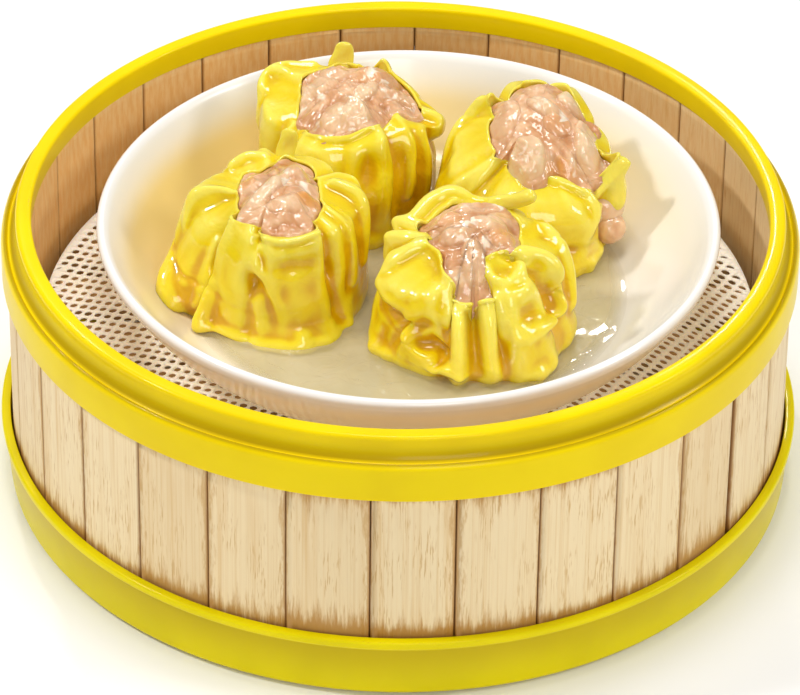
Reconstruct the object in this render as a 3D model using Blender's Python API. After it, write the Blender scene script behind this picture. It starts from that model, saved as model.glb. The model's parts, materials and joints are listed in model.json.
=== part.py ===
# Round bamboo steamer basket with plastic rims, a perforated mat, a shallow plate and four open dumplings.
# Metres, +Z up, the basket stands on z = 0 with its axis on the origin.
import math

import bmesh
import bpy
from mathutils import Matrix, Vector

MM = 0.001
GAP = 0.3 * MM                      # clearance between pieces that touch or rest on each other

# basket
TURN_STEPS = 48
TOP_Z = 68.4 * MM                   # top of the collar
TOP_OUTER_R = 87.0 * MM             # outer edge of the collar's flat top
TOP_INNER_R = 83.15 * MM            # inner edge of the collar's flat top
COLLAR_SKIRT_Z = 62.6 * MM          # lower edge of the collar's inner skirt
CREASE_R = 88.6 * MM                # where the neck meets the flange ledge
CREASE_Z = 62.8 * MM
FLANGE_R = 90.2 * MM
FLANGE_BOTTOM_Z = 53.7 * MM
LIP_R = 91.5 * MM                   # bead round the top of the base band
LIP_TOP_Z = 15.8 * MM
BASE_R = 89.5 * MM                  # base band at the floor

# bamboo wall
SLAT_COUNT = 30
SLAT_OUTER_R = 89.0 * MM
SLAT_INNER_R = 84.7 * MM
SLAT_BOTTOM_Z = 3.4 * MM
SLAT_SHOULDER_Z = 61.0 * MM         # outer shoulder under the flange ledge
SLAT_TONGUE_R = 86.4 * MM
SLAT_TONGUE_Z = 65.4 * MM
SLAT_FIRST_DEG = -93.6              # edge of the slat that faces the front
SLAT_DRIFT_DEG = 0.9                # the boards at the back sit a little further round
SLAT_GAP_DEG = 0.3
SLAT_WIDE_GAP_DEG = 0.95            # the one open joint, right of the front
SLAT_WIDE_GAP_AT = 4

# floor strips under the mat
STRIP_COUNT = 8
STRIP_WIDTH = 13.0 * MM
STRIP_PITCH = 17.6 * MM
STRIP_BOTTOM_Z = 34.0 * MM
STRIP_TOP_Z = 36.7 * MM
STRIP_REACH_R = 81.2 * MM
RAIL_WIDTH = 8.0 * MM
RAIL_BOTTOM_Z = 30.2 * MM
RAIL_TOP_Z = STRIP_BOTTOM_Z - GAP
RAIL_OFFSET = 36.0 * MM

# mat
MAT_R = 81.6 * MM
MAT_BOTTOM_Z = STRIP_TOP_Z + GAP
MAT_TOP_Z = 37.8 * MM

# plate, set a little back from the basket's axis
PLATE_X = 1.8 * MM
PLATE_Y = 5.2 * MM
PLATE_STEPS = 48
PLATE_R = 71.0 * MM
PLATE_TOP_Z = 62.0 * MM
PLATE_FOOT_Z = MAT_TOP_Z + GAP
PLATE_FLOOR_Z = 41.0 * MM           # inside, at the middle
PLATE_WELL = ((46.0 * MM, PLATE_FLOOR_Z + 0.2 * MM), (51.0 * MM, PLATE_TOP_Z - 20.1 * MM),
              (55.2 * MM, PLATE_TOP_Z - 17.6 * MM), (60.6 * MM, PLATE_TOP_Z - 12.4 * MM),
              (64.8 * MM, PLATE_TOP_Z - 6.9 * MM), (68.2 * MM, PLATE_TOP_Z - 1.2 * MM))

# dumplings
ROUND_STEPS = 40                    # round the wrapper's outer side
INNER_STEPS = 20                    # round the wrapper's inner side and the filling
WRAP_THICK = 1.5 * MM
DUMPLINGS = (
    dict(name="front_left", x=-28.4, y=4.0, z=41.8, r=20.6, h=27.5, mouth=12.6, shoulder=17.0, folds=11,
         turn=12.0, slope=0.02, slope_to=90.0, tab=84.0, tab_h=5.0, square=0.02, skirt=200.0, mound=0.8),
    dict(name="back_left", x=-12.4, y=40.4, z=42.0, r=20.0, h=27.5, mouth=14.2, shoulder=17.0, folds=11,
         turn=30.0, slope=0.09, slope_to=100.0, tab=96.0, tab_h=4.5, square=0.02, skirt=20.0, mound=1.8),
    dict(name="back_right", x=29.6, y=28.4, z=43.2, r=20.4, h=24.8, mouth=12.8, shoulder=17.0, folds=11,
         turn=75.0, slope=0.22, slope_to=100.0, tab=345.0, tab_h=2.5, square=0.02, skirt=180.0, mound=3.0),
    dict(name="front_right", x=15.8, y=-12.4, z=41.9, r=20.8, h=24.6, mouth=12.0, shoulder=16.6, folds=11,
         turn=50.0, slope=0.10, slope_to=90.0, tab=45.0, tab_h=3.0, square=0.02, skirt=330.0, mound=1.2),
)


def material(name, color, roughness):
    mat = bpy.data.materials.new(name)
    mat.use_nodes = True
    shader = mat.node_tree.nodes["Principled BSDF"]
    shader.inputs["Base Color"].default_value = (*color, 1.0)
    shader.inputs["Roughness"].default_value = roughness
    mat.diffuse_color = (*color, 1.0)
    return mat


def finish(bm, name, mat, smooth):
    bmesh.ops.remove_doubles(bm, verts=bm.verts, dist=0.000002)
    bmesh.ops.recalc_face_normals(bm, faces=bm.faces)
    mesh = bpy.data.meshes.new(name)
    bm.to_mesh(mesh)
    bm.free()
    for poly in mesh.polygons:
        poly.use_smooth = smooth
    mesh.materials.append(mat)
    obj = bpy.data.objects.new(name, mesh)
    bpy.context.scene.collection.objects.link(obj)
    return obj


def turned(name, profile, steps, mat, centre=(0.0, 0.0), closed=True):
    # spins a profile of (radius, height) pairs once round the upright axis
    bm = bmesh.new()
    verts = [bm.verts.new((r, 0.0, z)) for r, z in profile]
    edges = [bm.edges.new((verts[i], verts[i + 1])) for i in range(len(verts) - 1)]
    if closed:
        edges.append(bm.edges.new((verts[-1], verts[0])))
    bmesh.ops.spin(bm, geom=verts + edges, cent=(0.0, 0.0, 0.0), axis=(0.0, 0.0, 1.0),
                   angle=2.0 * math.pi, steps=steps, use_duplicate=False)
    bmesh.ops.translate(bm, verts=bm.verts, vec=(centre[0], centre[1], 0.0))
    return finish(bm, name, mat, True)


def arc_points(centre_r, centre_z, radius, start_deg, end_deg, count):
    # points along a small rounding, for the edges of turned pieces
    points = []
    for i in range(count):
        a = math.radians(start_deg + (end_deg - start_deg) * i / (count - 1))
        points.append((centre_r + radius * math.cos(a), centre_z + radius * math.sin(a)))
    return points


def collar(mat):
    edge = 0.7 * MM
    channel_z = SLAT_TONGUE_Z + GAP
    skirt_outer = SLAT_INNER_R - 0.35 * MM
    flange_inner = SLAT_OUTER_R + 0.4 * MM
    shoulder_z = SLAT_SHOULDER_Z + GAP
    profile = [(TOP_INNER_R + edge, TOP_Z)]
    profile += arc_points(TOP_OUTER_R - edge, TOP_Z - edge, edge, 90.0, 10.0, 3)
    profile += [(CREASE_R - 0.9 * MM, CREASE_Z + 1.6 * MM), (CREASE_R, CREASE_Z)]
    profile += arc_points(FLANGE_R - 0.9 * MM, CREASE_Z - 0.8 * MM, 0.8 * MM, 90.0, 0.0, 3)
    profile += [(FLANGE_R, FLANGE_BOTTOM_Z), (flange_inner, FLANGE_BOTTOM_Z)]
    profile += [(flange_inner, shoulder_z), (SLAT_TONGUE_R + GAP, shoulder_z)]
    profile += [(SLAT_TONGUE_R + GAP, channel_z), (skirt_outer, channel_z)]
    profile += [(skirt_outer, COLLAR_SKIRT_Z), (TOP_INNER_R + 0.3 * MM, COLLAR_SKIRT_Z)]
    profile += [(TOP_INNER_R, TOP_Z - edge)]
    return turned("collar", profile, TURN_STEPS, mat)


def base_band(mat):
    edge = 0.6 * MM
    lip_inner = SLAT_OUTER_R + 0.4 * MM
    profile = [(lip_inner, LIP_TOP_Z)]
    profile += arc_points(LIP_R - edge, LIP_TOP_Z - edge, edge, 90.0, 0.0, 3)
    profile += [(LIP_R, LIP_TOP_Z - 1.7 * MM), (LIP_R - 0.7 * MM, LIP_TOP_Z - 2.1 * MM)]
    profile += [(BASE_R + 0.4 * MM, 1.0 * MM), (BASE_R - 0.5 * MM, 0.0)]
    profile += [(TOP_INNER_R, 0.0), (TOP_INNER_R, 9.0 * MM), (SLAT_INNER_R - 0.35 * MM, 9.0 * MM)]
    profile += [(SLAT_INNER_R - 0.35 * MM, SLAT_BOTTOM_Z - GAP), (lip_inner, SLAT_BOTTOM_Z - GAP)]
    return turned("base_band", profile, TURN_STEPS, mat)


def slat(index, start_deg, end_deg, mat):
    # an upright board bent to the wall, with a shoulder under the flange and a tongue in the neck
    profile = ((SLAT_OUTER_R, SLAT_BOTTOM_Z), (SLAT_OUTER_R, SLAT_SHOULDER_Z),
               (SLAT_TONGUE_R, SLAT_SHOULDER_Z), (SLAT_TONGUE_R, SLAT_TONGUE_Z),
               (SLAT_INNER_R, SLAT_TONGUE_Z), (SLAT_INNER_R, SLAT_BOTTOM_Z))
    bm = bmesh.new()
    columns = []
    for k in range(3):
        a = math.radians(start_deg + (end_deg - start_deg) * k / 2.0)
        columns.append([bm.verts.new((r * math.cos(a), r * math.sin(a), z)) for r, z in profile])
    size = len(profile)
    for k in range(2):
        for i in range(size):
            j = (i + 1) % size
            bm.faces.new((columns[k][i], columns[k][j], columns[k + 1][j], columns[k + 1][i]))
    bm.faces.new(columns[0])
    bm.faces.new(columns[2][::-1])
    return finish(bm, "slat_%02d" % (index + 1), mat, False)


def slats(mat):
    pitch = 360.0 / SLAT_COUNT
    edges = []
    for i in range(SLAT_COUNT + 1):
        drift = SLAT_DRIFT_DEG * (1.0 - math.cos(math.radians(pitch * i)))
        edges.append(SLAT_FIRST_DEG + pitch * i + drift)
    for i in range(SLAT_COUNT):
        gap = SLAT_WIDE_GAP_DEG if i == SLAT_WIDE_GAP_AT else SLAT_GAP_DEG
        slat(i, edges[i], edges[i + 1] - gap, mat)


def bar(name, x0, x1, y0, y1, z0, z1, mat):
    bm = bmesh.new()
    bmesh.ops.create_cube(bm, size=1.0)
    bmesh.ops.scale(bm, vec=(x1 - x0, y1 - y0, z1 - z0), verts=bm.verts)
    bmesh.ops.translate(bm, vec=((x0 + x1) / 2.0, (y0 + y1) / 2.0, (z0 + z1) / 2.0), verts=bm.verts)
    return finish(bm, name, mat, False)


def floor_strips(mat):
    # strips from wall to wall, each as long as the round wall allows at its outer edge
    for i in range(STRIP_COUNT):
        mid = (i - (STRIP_COUNT - 1) / 2.0) * STRIP_PITCH
        far = abs(mid) + STRIP_WIDTH / 2.0
        reach = math.sqrt(STRIP_REACH_R ** 2 - far ** 2)
        bar("floor_strip_%d" % (i + 1), -reach, reach, mid - STRIP_WIDTH / 2.0, mid + STRIP_WIDTH / 2.0,
            STRIP_BOTTOM_Z, STRIP_TOP_Z, mat)
    for i, side in enumerate((-1.0, 1.0)):
        mid = side * RAIL_OFFSET
        reach = math.sqrt(STRIP_REACH_R ** 2 - (RAIL_OFFSET + RAIL_WIDTH / 2.0) ** 2)
        bar("floor_rail_%d" % (i + 1), mid - RAIL_WIDTH / 2.0, mid + RAIL_WIDTH / 2.0, -reach, reach,
            RAIL_BOTTOM_Z, RAIL_TOP_Z, mat)


def steamer_mat(mat):
    profile = [(0.0, MAT_TOP_Z), (MAT_R, MAT_TOP_Z), (MAT_R, MAT_BOTTOM_Z), (0.0, MAT_BOTTOM_Z)]
    return turned("mat", profile, TURN_STEPS, mat, closed=False)


def plate(mat):
    # rounded rim, curved wall that steepens upwards, low foot ring
    top = PLATE_TOP_Z
    foot = PLATE_FOOT_Z
    profile = [(0.0, PLATE_FLOOR_Z)] + list(PLATE_WELL)
    profile += [(69.6 * MM, top), (70.8 * MM, top - 0.9 * MM), (PLATE_R - 0.3 * MM, top - 2.4 * MM)]
    profile += [(66.6 * MM, top - 8.9 * MM), (62.0 * MM, top - 14.6 * MM), (56.4 * MM, top - 20.0 * MM)]
    profile += [(50.6 * MM, foot), (47.4 * MM, foot), (46.4 * MM, foot + 1.0 * MM), (0.0, foot + 1.0 * MM)]
    return turned("plate", profile, PLATE_STEPS, mat, (PLATE_X, PLATE_Y), closed=False)


def near(angle, centre_deg, width_deg):
    # smooth bump of height one round a given heading
    d = (math.degrees(angle) - centre_deg + 180.0) % 360.0 - 180.0
    return math.exp(-(d / width_deg) ** 2)


def body_radius(spec, t):
    # share t of the height to the radius of the pouch: turned-in foot, upright side, shoulder, mouth
    foot = 0.90 + 0.10 * min(1.0, t / 0.10) ** 0.5
    narrow = max(0.0, (t - 0.30) / 0.55)
    side = spec["r"] + (spec["shoulder"] + 1.5 - spec["r"]) * min(1.0, narrow) ** 1.5
    closing = max(0.0, (t - 0.85) / 0.15)
    mouth = spec["mouth"] + 2.6
    return (side * (1.0 - closing) + mouth * closing) * foot * MM


def level(spec, angle, t):
    # height of the ring at share t; the mouth stands higher on one side
    slope = 1.0 + spec["slope"] * math.cos(angle - math.radians(spec["slope_to"]))
    return spec["h"] * MM * t * slope


def fold_wave(spec, angle, t):
    # one ridge per fold, sharper outwards than inwards; ridges wander a little with height
    k = spec["folds"]
    phase = angle - math.radians(spec["turn"]) + 0.10 * math.sin(3.0 * angle + 2.0 * t)
    ridge = abs(math.cos(phase * k / 2.0)) ** 1.5
    uneven = 1.0 + 0.35 * math.sin(2.0 * angle + spec["turn"])
    return ridge * uneven


def room_on_plate(spec, angle, z):
    # how far out from the pouch's middle the plate's well reaches at height z, less the clearance
    height = spec["z"] * MM + z
    radius = PLATE_WELL[-1][0]
    for (r0, z0), (r1, z1) in zip(PLATE_WELL[:-1], PLATE_WELL[1:]):
        if z0 <= height < z1:
            radius = r0 + (r1 - r0) * (height - z0) / (z1 - z0)
    dx = spec["x"] * MM - PLATE_X
    dy = spec["y"] * MM - PLATE_Y
    along = dx * math.cos(angle) + dy * math.sin(angle)
    return math.sqrt(along ** 2 - dx ** 2 - dy ** 2 + radius ** 2) - along - 0.7 * MM


def outer_point(spec, angle, t):
    r = body_radius(spec, t)
    square = 1.0 + spec["square"] * math.cos(4.0 * (angle - math.radians(spec["turn"])))
    depth = (0.5 + 1.5 * t) * MM * min(1.0, t / 0.15)
    wave = fold_wave(spec, angle, t)
    r = r * square - depth * (1.0 - wave)
    r += 1.2 * MM * near(angle, spec["skirt"], 28.0) * max(0.0, 1.0 - abs(t - 0.22) / 0.2)
    z = level(spec, angle, t)
    if t > 0.85:
        rise = (t - 0.85) / 0.15
        z += rise * (1.4 * wave - 0.7) * MM
        z += rise * spec["tab_h"] * MM * near(angle, spec["tab"], 17.0)
        r += rise * 0.9 * MM * wave
    r = min(r, room_on_plate(spec, angle, z))
    return Vector((r * math.cos(angle), r * math.sin(angle), z))


def inner_radius(spec, angle, t):
    lean_in = body_radius(spec, t) - (2.0 + 0.5 + 1.5 * t) * MM
    square = 1.0 + spec["square"] * math.cos(4.0 * (angle - math.radians(spec["turn"])))
    room = room_on_plate(spec, angle, level(spec, angle, t) - WRAP_THICK) - 2.0 * MM
    return min(lean_in * square - 0.9 * MM, room)


def placing(spec):
    return Matrix.Translation((spec["x"] * MM, spec["y"] * MM, spec["z"] * MM))


def rings_to_faces(bm, rings):
    for a, b in zip(rings[:-1], rings[1:]):
        n = len(a)
        for i in range(n):
            j = (i + 1) % n
            bm.faces.new((a[i], a[j], b[j], b[i]))


def fan(bm, ring, point):
    tip = bm.verts.new(point)
    n = len(ring)
    for i in range(n):
        bm.faces.new((ring[i], ring[(i + 1) % n], tip))


def wrapper(spec, mat):
    # open pouch: pleated outer side, plain inner side, joined along the wavy mouth
    bm = bmesh.new()
    outer = []
    for t in (0.0, 0.04, 0.12, 0.34, 0.6, 0.85, 1.0):
        ring = []
        for i in range(ROUND_STEPS):
            a = 2.0 * math.pi * i / ROUND_STEPS
            ring.append(bm.verts.new(outer_point(spec, a, t)))
        outer.append(ring)
    rings_to_faces(bm, outer)
    fan(bm, outer[0], (0.0, 0.0, 0.0))
    inner = []
    for t in (0.97, 0.93, 0.72, 0.4, 0.2, 0.1):
        ring = []
        for i in range(INNER_STEPS):
            a = 2.0 * math.pi * i / INNER_STEPS
            r = inner_radius(spec, a, t)
            z = level(spec, a, t)
            if t > 0.9:
                z = outer_point(spec, a, 1.0).z - 0.5 * MM
            ring.append(bm.verts.new((r * math.cos(a), r * math.sin(a), z)))
        inner.append(ring)
    rings_to_faces(bm, inner)
    fan(bm, inner[-1], (0.0, 0.0, WRAP_THICK))
    edge_out = outer[-1]
    edge_in = inner[0]
    for i in range(INNER_STEPS):
        j = (i + 1) % INNER_STEPS
        bm.faces.new((edge_out[2 * i], edge_out[2 * i + 1], edge_in[i]))
        bm.faces.new((edge_out[2 * i + 1], edge_out[(2 * i + 2) % ROUND_STEPS], edge_in[j], edge_in[i]))
    bmesh.ops.transform(bm, matrix=placing(spec), verts=bm.verts)
    return finish(bm, "wrapper_" + spec["name"], mat, True)


def filling(spec, mat):
    # minced filling: fills the pouch from its floor and stands up in lumps at the mouth
    bm = bmesh.new()
    rings = []
    for t in (0.13, 0.2, 0.4, 0.72, 0.93):
        ring = []
        for i in range(INNER_STEPS):
            a = 2.0 * math.pi * i / INNER_STEPS
            r = inner_radius(spec, a, t) - (0.55 if t > 0.15 else 1.9) * MM
            ring.append(bm.verts.new((r * math.cos(a), r * math.sin(a), level(spec, a, t))))
        rings.append(ring)
    for share, rise in ((0.72, 0.75), (0.4, 1.0)):
        ring = []
        for i in range(INNER_STEPS):
            a = 2.0 * math.pi * i / INNER_STEPS
            lump = 0.6 * math.sin(3.0 * a + spec["turn"]) + 0.5 * math.cos(5.0 * a - share * 6.0)
            r = (inner_radius(spec, a, 0.93) - 0.55 * MM) * share
            z = level(spec, a, 0.93) * share + spec["h"] * MM * 0.93 * (1.0 - share)
            z += (spec["mound"] * rise + lump) * MM
            ring.append(bm.verts.new((r * math.cos(a), r * math.sin(a), z)))
        rings.append(ring)
    rings_to_faces(bm, rings)
    fan(bm, rings[0], (0.0, 0.0, WRAP_THICK + 0.9 * MM))
    fan(bm, rings[-1], (0.0, 0.0, (spec["h"] * 0.93 + spec["mound"] + 0.6) * MM))
    bmesh.ops.transform(bm, matrix=placing(spec), verts=bm.verts)
    return finish(bm, "filling_" + spec["name"], mat, True)


def main():
    for obj in list(bpy.data.objects):
        bpy.data.objects.remove(obj, do_unlink=True)
    plastic = material("yellow_plastic", (0.85, 0.66, 0.02), 0.3)
    bamboo = material("bamboo", (0.74, 0.55, 0.33), 0.6)
    net = material("mat_plastic", (0.82, 0.78, 0.70), 0.6)
    glaze = material("plate_white", (0.88, 0.85, 0.79), 0.15)
    dough = material("dough_yellow", (0.84, 0.62, 0.10), 0.35)
    mince = material("filling_pink", (0.70, 0.42, 0.30), 0.4)
    collar(plastic)
    base_band(plastic)
    slats(bamboo)
    floor_strips(bamboo)
    steamer_mat(net)
    plate(glaze)
    for spec in DUMPLINGS:
        wrapper(spec, dough)
        filling(spec, mince)


main()
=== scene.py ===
import json
import math

import bpy
import numpy as np
from mathutils import Matrix, Vector

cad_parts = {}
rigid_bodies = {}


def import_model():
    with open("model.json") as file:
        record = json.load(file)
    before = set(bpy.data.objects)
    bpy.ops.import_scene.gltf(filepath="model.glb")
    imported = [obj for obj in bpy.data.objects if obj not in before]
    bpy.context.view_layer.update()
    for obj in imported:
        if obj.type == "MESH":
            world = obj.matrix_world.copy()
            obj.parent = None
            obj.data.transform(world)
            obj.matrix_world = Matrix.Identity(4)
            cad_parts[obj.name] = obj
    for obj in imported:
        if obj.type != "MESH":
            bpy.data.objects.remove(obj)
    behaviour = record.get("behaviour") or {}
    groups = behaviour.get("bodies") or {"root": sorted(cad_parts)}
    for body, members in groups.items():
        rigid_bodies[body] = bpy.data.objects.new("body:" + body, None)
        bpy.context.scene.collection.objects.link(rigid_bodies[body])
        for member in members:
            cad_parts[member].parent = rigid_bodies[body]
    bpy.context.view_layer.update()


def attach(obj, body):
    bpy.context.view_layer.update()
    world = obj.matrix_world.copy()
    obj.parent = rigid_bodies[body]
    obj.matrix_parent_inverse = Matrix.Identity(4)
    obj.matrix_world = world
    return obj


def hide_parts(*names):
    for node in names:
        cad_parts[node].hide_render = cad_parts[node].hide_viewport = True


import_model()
print("frame loaded")

mm = 0.001
tau = 2.0 * math.pi
bpy.context.scene.view_settings.view_transform = "Standard"


# shared number helpers
def smoothStep(low, high, x):
    # 0 below low, 1 above high, and three k squared less two k cubed between them
    k = np.clip((x - low) / (high - low), 0.0, 1.0)
    return k * k * (3.0 - 2.0 * k)


def angleFrom(theta, heading):
    # signed distance in degrees between an angle in radians and a heading in degrees
    return (np.degrees(theta) - heading + 180.0) % 360.0 - 180.0


def softNoise(x, y, z, seed, octaves=3, roughness=0.5):
    # sum of products of a sine and a cosine along seeded directions, each octave finer and weaker
    rng = np.random.default_rng(seed)
    total = np.zeros(np.broadcast(x, y, z).shape)
    weight = 1.0
    scale = 1.0
    for _ in range(octaves):
        part = np.zeros_like(total)
        for _ in range(5):
            a, b, c = rng.normal(size=3)
            p, q = rng.uniform(0.0, tau, 2)
            part += np.sin(scale * (a * x + b * y + c * z) + p) * np.cos(
                scale * (b * x - c * y + a * z) + q)
        total += weight * part / 5.0
        weight *= roughness
        scale *= 1.9
    return total


# shared mesh helpers
def gridFaces(rows, cols, wrapRows=False):
    # quads between the points of a rows by cols grid whose columns close into a turn
    rr, cc = np.meshgrid(np.arange(rows if wrapRows else rows - 1), np.arange(cols), indexing="ij")
    r2 = (rr + 1) % rows
    c2 = (cc + 1) % cols
    quads = np.stack([rr * cols + cc, rr * cols + c2, r2 * cols + c2, r2 * cols + cc], -1)
    return quads.reshape(-1, 4)


def fanFaces(ring, tip, flip):
    # triangles from a ring of point numbers to one tip point
    nxt = np.roll(ring, -1)
    tips = np.full_like(ring, tip)
    return np.stack([nxt, ring, tips] if flip else [ring, nxt, tips], -1)


def meshPiece(name, points, faceSets, material):
    # points in millimetres, faces as arrays of quads or triangles, all smooth shaded
    mesh = bpy.data.meshes.new(name)
    faces = []
    for part in faceSets:
        faces += part.tolist()
    mesh.from_pydata((np.asarray(points).reshape(-1, 3) * mm).tolist(), [], faces)
    mesh.polygons.foreach_set("use_smooth", np.ones(len(mesh.polygons), dtype=bool))
    mesh.materials.append(material)
    mesh.update()
    obj = bpy.data.objects.new(name, mesh)
    bpy.context.scene.collection.objects.link(obj)
    return obj


def pointAttribute(obj, name, values):
    # one number for each point, which the materials read by name
    layer = obj.data.attributes.new(name, "FLOAT", "POINT")
    layer.data.foreach_set("value", np.asarray(values, dtype=np.float32).ravel())


def closedShell(rings, tipLow, tipHigh):
    # rings of equal length joined from low to high, each anticlockwise seen from above, with a fan
    # of triangles to a tip at both ends
    rows, cols = rings.shape[0], rings.shape[1]
    points = np.concatenate([rings.reshape(-1, 3), np.array([tipLow, tipHigh])])
    n = rows * cols
    faces = [gridFaces(rows, cols), fanFaces(np.arange(cols), n, True),
             fanFaces(np.arange(cols) + (rows - 1) * cols, n + 1, False)]
    return points, faces


def filletProfile(corners, steps=5):
    # (radius, height, rounding) corners of a closed outline; each corner becomes a quadratic curve
    # that starts and ends at the rounding's distance along its two sides
    pts = np.array([c[:2] for c in corners], dtype=float)
    rounding = np.array([c[2] for c in corners], dtype=float)
    toPrev = np.roll(pts, 1, axis=0) - pts
    toNext = np.roll(pts, -1, axis=0) - pts
    lenPrev = np.linalg.norm(toPrev, axis=1)
    lenNext = np.linalg.norm(toNext, axis=1)
    reach = np.minimum(rounding, 0.48 * np.minimum(lenPrev, lenNext))
    a = pts + toPrev / lenPrev[:, None] * reach[:, None]
    b = pts + toNext / lenNext[:, None] * reach[:, None]
    s = np.linspace(0.0, 1.0, steps)[None, :, None]
    curve = (1 - s) ** 2 * a[:, None] + 2 * s * (1 - s) * pts[:, None] + s ** 2 * b[:, None]
    return curve.reshape(-1, 2)


def turnedRing(name, corners, steps, material):
    # a closed outline carried once round the upright axis: x = r cos a, y = r sin a
    outline = filletProfile(corners)
    a = np.arange(steps) * tau / steps
    r = outline[:, 0][:, None]
    pts = np.stack([r * np.cos(a), r * np.sin(a), np.repeat(outline[:, 1][:, None], steps, 1)], -1)
    area = 0.5 * np.sum(outline[:, 0] * np.roll(outline[:, 1], -1)
                        - np.roll(outline[:, 0], -1) * outline[:, 1])
    faces = gridFaces(len(outline), steps, wrapRows=True)
    if area < 0:  # the outline runs clockwise, so its quads are turned round
        faces = faces[:, ::-1]
    return meshPiece(name, pts, [faces], material)


def finishPiece(obj, slotName, *nodes):
    # every piece rides the one body and takes the place of its own simple solids
    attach(obj, "root")
    if nodes:
        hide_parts(*nodes)
    return obj


# shader helpers
def newGroup(name, inputs, outputs):
    # an empty node group with its named sockets
    group = bpy.data.node_groups.new(name, "ShaderNodeTree")
    for label, kind, value in inputs:
        socket = group.interface.new_socket(name=label, in_out="INPUT", socket_type=kind)
        if value is not None:
            socket.default_value = value
    for label, kind in outputs:
        group.interface.new_socket(name=label, in_out="OUTPUT", socket_type=kind)
    return group, group.nodes.new("NodeGroupInput"), group.nodes.new("NodeGroupOutput")


def mathNode(tree, kind, first, second, clamp=False):
    # one sum or product of two numbers or sockets
    node = tree.nodes.new("ShaderNodeMath")
    node.operation = kind
    node.use_clamp = clamp
    for socket, value in zip(node.inputs, (first, second)):
        if isinstance(value, float):
            socket.default_value = value
        else:
            tree.links.new(value, socket)
    return node.outputs[0]


def mixColor(tree, factor, first, second):
    # first where the factor is 0, second where it is 1; each may be a colour or a socket
    node = tree.nodes.new("ShaderNodeMix")
    node.data_type = "RGBA"
    for socket, value in ((node.inputs[0], factor), (node.inputs[6], first), (node.inputs[7], second)):
        if isinstance(value, float):
            socket.default_value = value
        elif isinstance(value, tuple):
            socket.default_value = (*value, 1.0)
        else:
            tree.links.new(value, socket)
    return node.outputs[2]


def rampNode(tree, factor, low, high):
    # soft step from 0 at low to 1 at high
    node = tree.nodes.new("ShaderNodeMapRange")
    node.interpolation_type = "SMOOTHSTEP"
    tree.links.new(factor, node.inputs["Value"])
    node.inputs["From Min"].default_value = low
    node.inputs["From Max"].default_value = high
    return node.outputs["Result"]


def noiseNode(tree, vector, scale, detail=3.0, rough=0.5, distortion=0.0):
    # cloudy noise; its scale is in waves for each metre on object coordinates
    node = tree.nodes.new("ShaderNodeTexNoise")
    node.inputs["Scale"].default_value = scale
    node.inputs["Detail"].default_value = detail
    node.inputs["Roughness"].default_value = rough
    node.inputs["Distortion"].default_value = distortion
    tree.links.new(vector, node.inputs["Vector"])
    return node.outputs["Fac"]


def stretched(tree, vector, scale):
    # the same coordinates, each axis multiplied by its own scale
    node = tree.nodes.new("ShaderNodeMapping")
    node.inputs["Scale"].default_value = scale
    tree.links.new(vector, node.inputs["Vector"])
    return node.outputs["Vector"]


def newMaterial(name, roughness, coat=0.0, coatRough=0.05, ior=1.45, subsurface=0.0,
                subsurfaceRadius=(1.0, 0.5, 0.2), subsurfaceScale=0.003):
    # a material whose plain values sit on the shader's own sockets
    mat = bpy.data.materials.new(name)
    mat.use_nodes = True
    tree = mat.node_tree
    shader = tree.nodes["Principled BSDF"]
    shader.inputs["Roughness"].default_value = roughness
    shader.inputs["IOR"].default_value = ior
    shader.inputs["Coat Weight"].default_value = coat
    shader.inputs["Coat Roughness"].default_value = coatRough
    shader.inputs["Subsurface Weight"].default_value = subsurface
    shader.inputs["Subsurface Radius"].default_value = subsurfaceRadius
    shader.inputs["Subsurface Scale"].default_value = subsurfaceScale
    coords = tree.nodes.new("ShaderNodeTexCoord")
    return mat, tree, shader, coords.outputs["Object"]


def bumpInto(tree, shader, height, strength, distance):
    # fine relief; distance is in metres
    node = tree.nodes.new("ShaderNodeBump")
    node.inputs["Strength"].default_value = strength
    node.inputs["Distance"].default_value = distance
    tree.links.new(height, node.inputs["Height"])
    tree.links.new(node.outputs["Normal"], shader.inputs["Normal"])


def useGroup(tree, group, links, values):
    # a shared effect placed in a material, with some inputs linked and the rest set
    node = tree.nodes.new("ShaderNodeGroup")
    node.node_tree = group
    for label, socket in links.items():
        tree.links.new(socket, node.inputs[label])
    for label, value in values.items():
        node.inputs[label].default_value = value
    return node


def attributeNode(tree, name):
    # the number that pointAttribute stored
    node = tree.nodes.new("ShaderNodeAttribute")
    node.attribute_name = name
    return node.outputs["Fac"]


# soft mottling: two noises at different sizes, as a mask and as a height
mottleGroup, mottleIn, mottleOut = newGroup(
    "softMottle",
    [("Vector", "NodeSocketVector", None), ("Large", "NodeSocketFloat", 60.0),
     ("Small", "NodeSocketFloat", 400.0)],
    [("Mask", "NodeSocketFloat"), ("Height", "NodeSocketFloat")])


def fillMottleGroup(tree, groupIn, groupOut):
    # Mask is the large noise as a soft step, Height is the small noise
    large = tree.nodes.new("ShaderNodeTexNoise")
    small = tree.nodes.new("ShaderNodeTexNoise")
    for node, label, detail in ((large, "Large", 2.0), (small, "Small", 4.0)):
        tree.links.new(groupIn.outputs["Vector"], node.inputs["Vector"])
        tree.links.new(groupIn.outputs[label], node.inputs["Scale"])
        node.inputs["Detail"].default_value = detail
    tree.links.new(rampNode(tree, large.outputs["Fac"], 0.35, 0.65), groupOut.inputs["Mask"])
    tree.links.new(small.outputs["Fac"], groupOut.inputs["Height"])


fillMottleGroup(mottleGroup, mottleIn, mottleOut)

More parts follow.
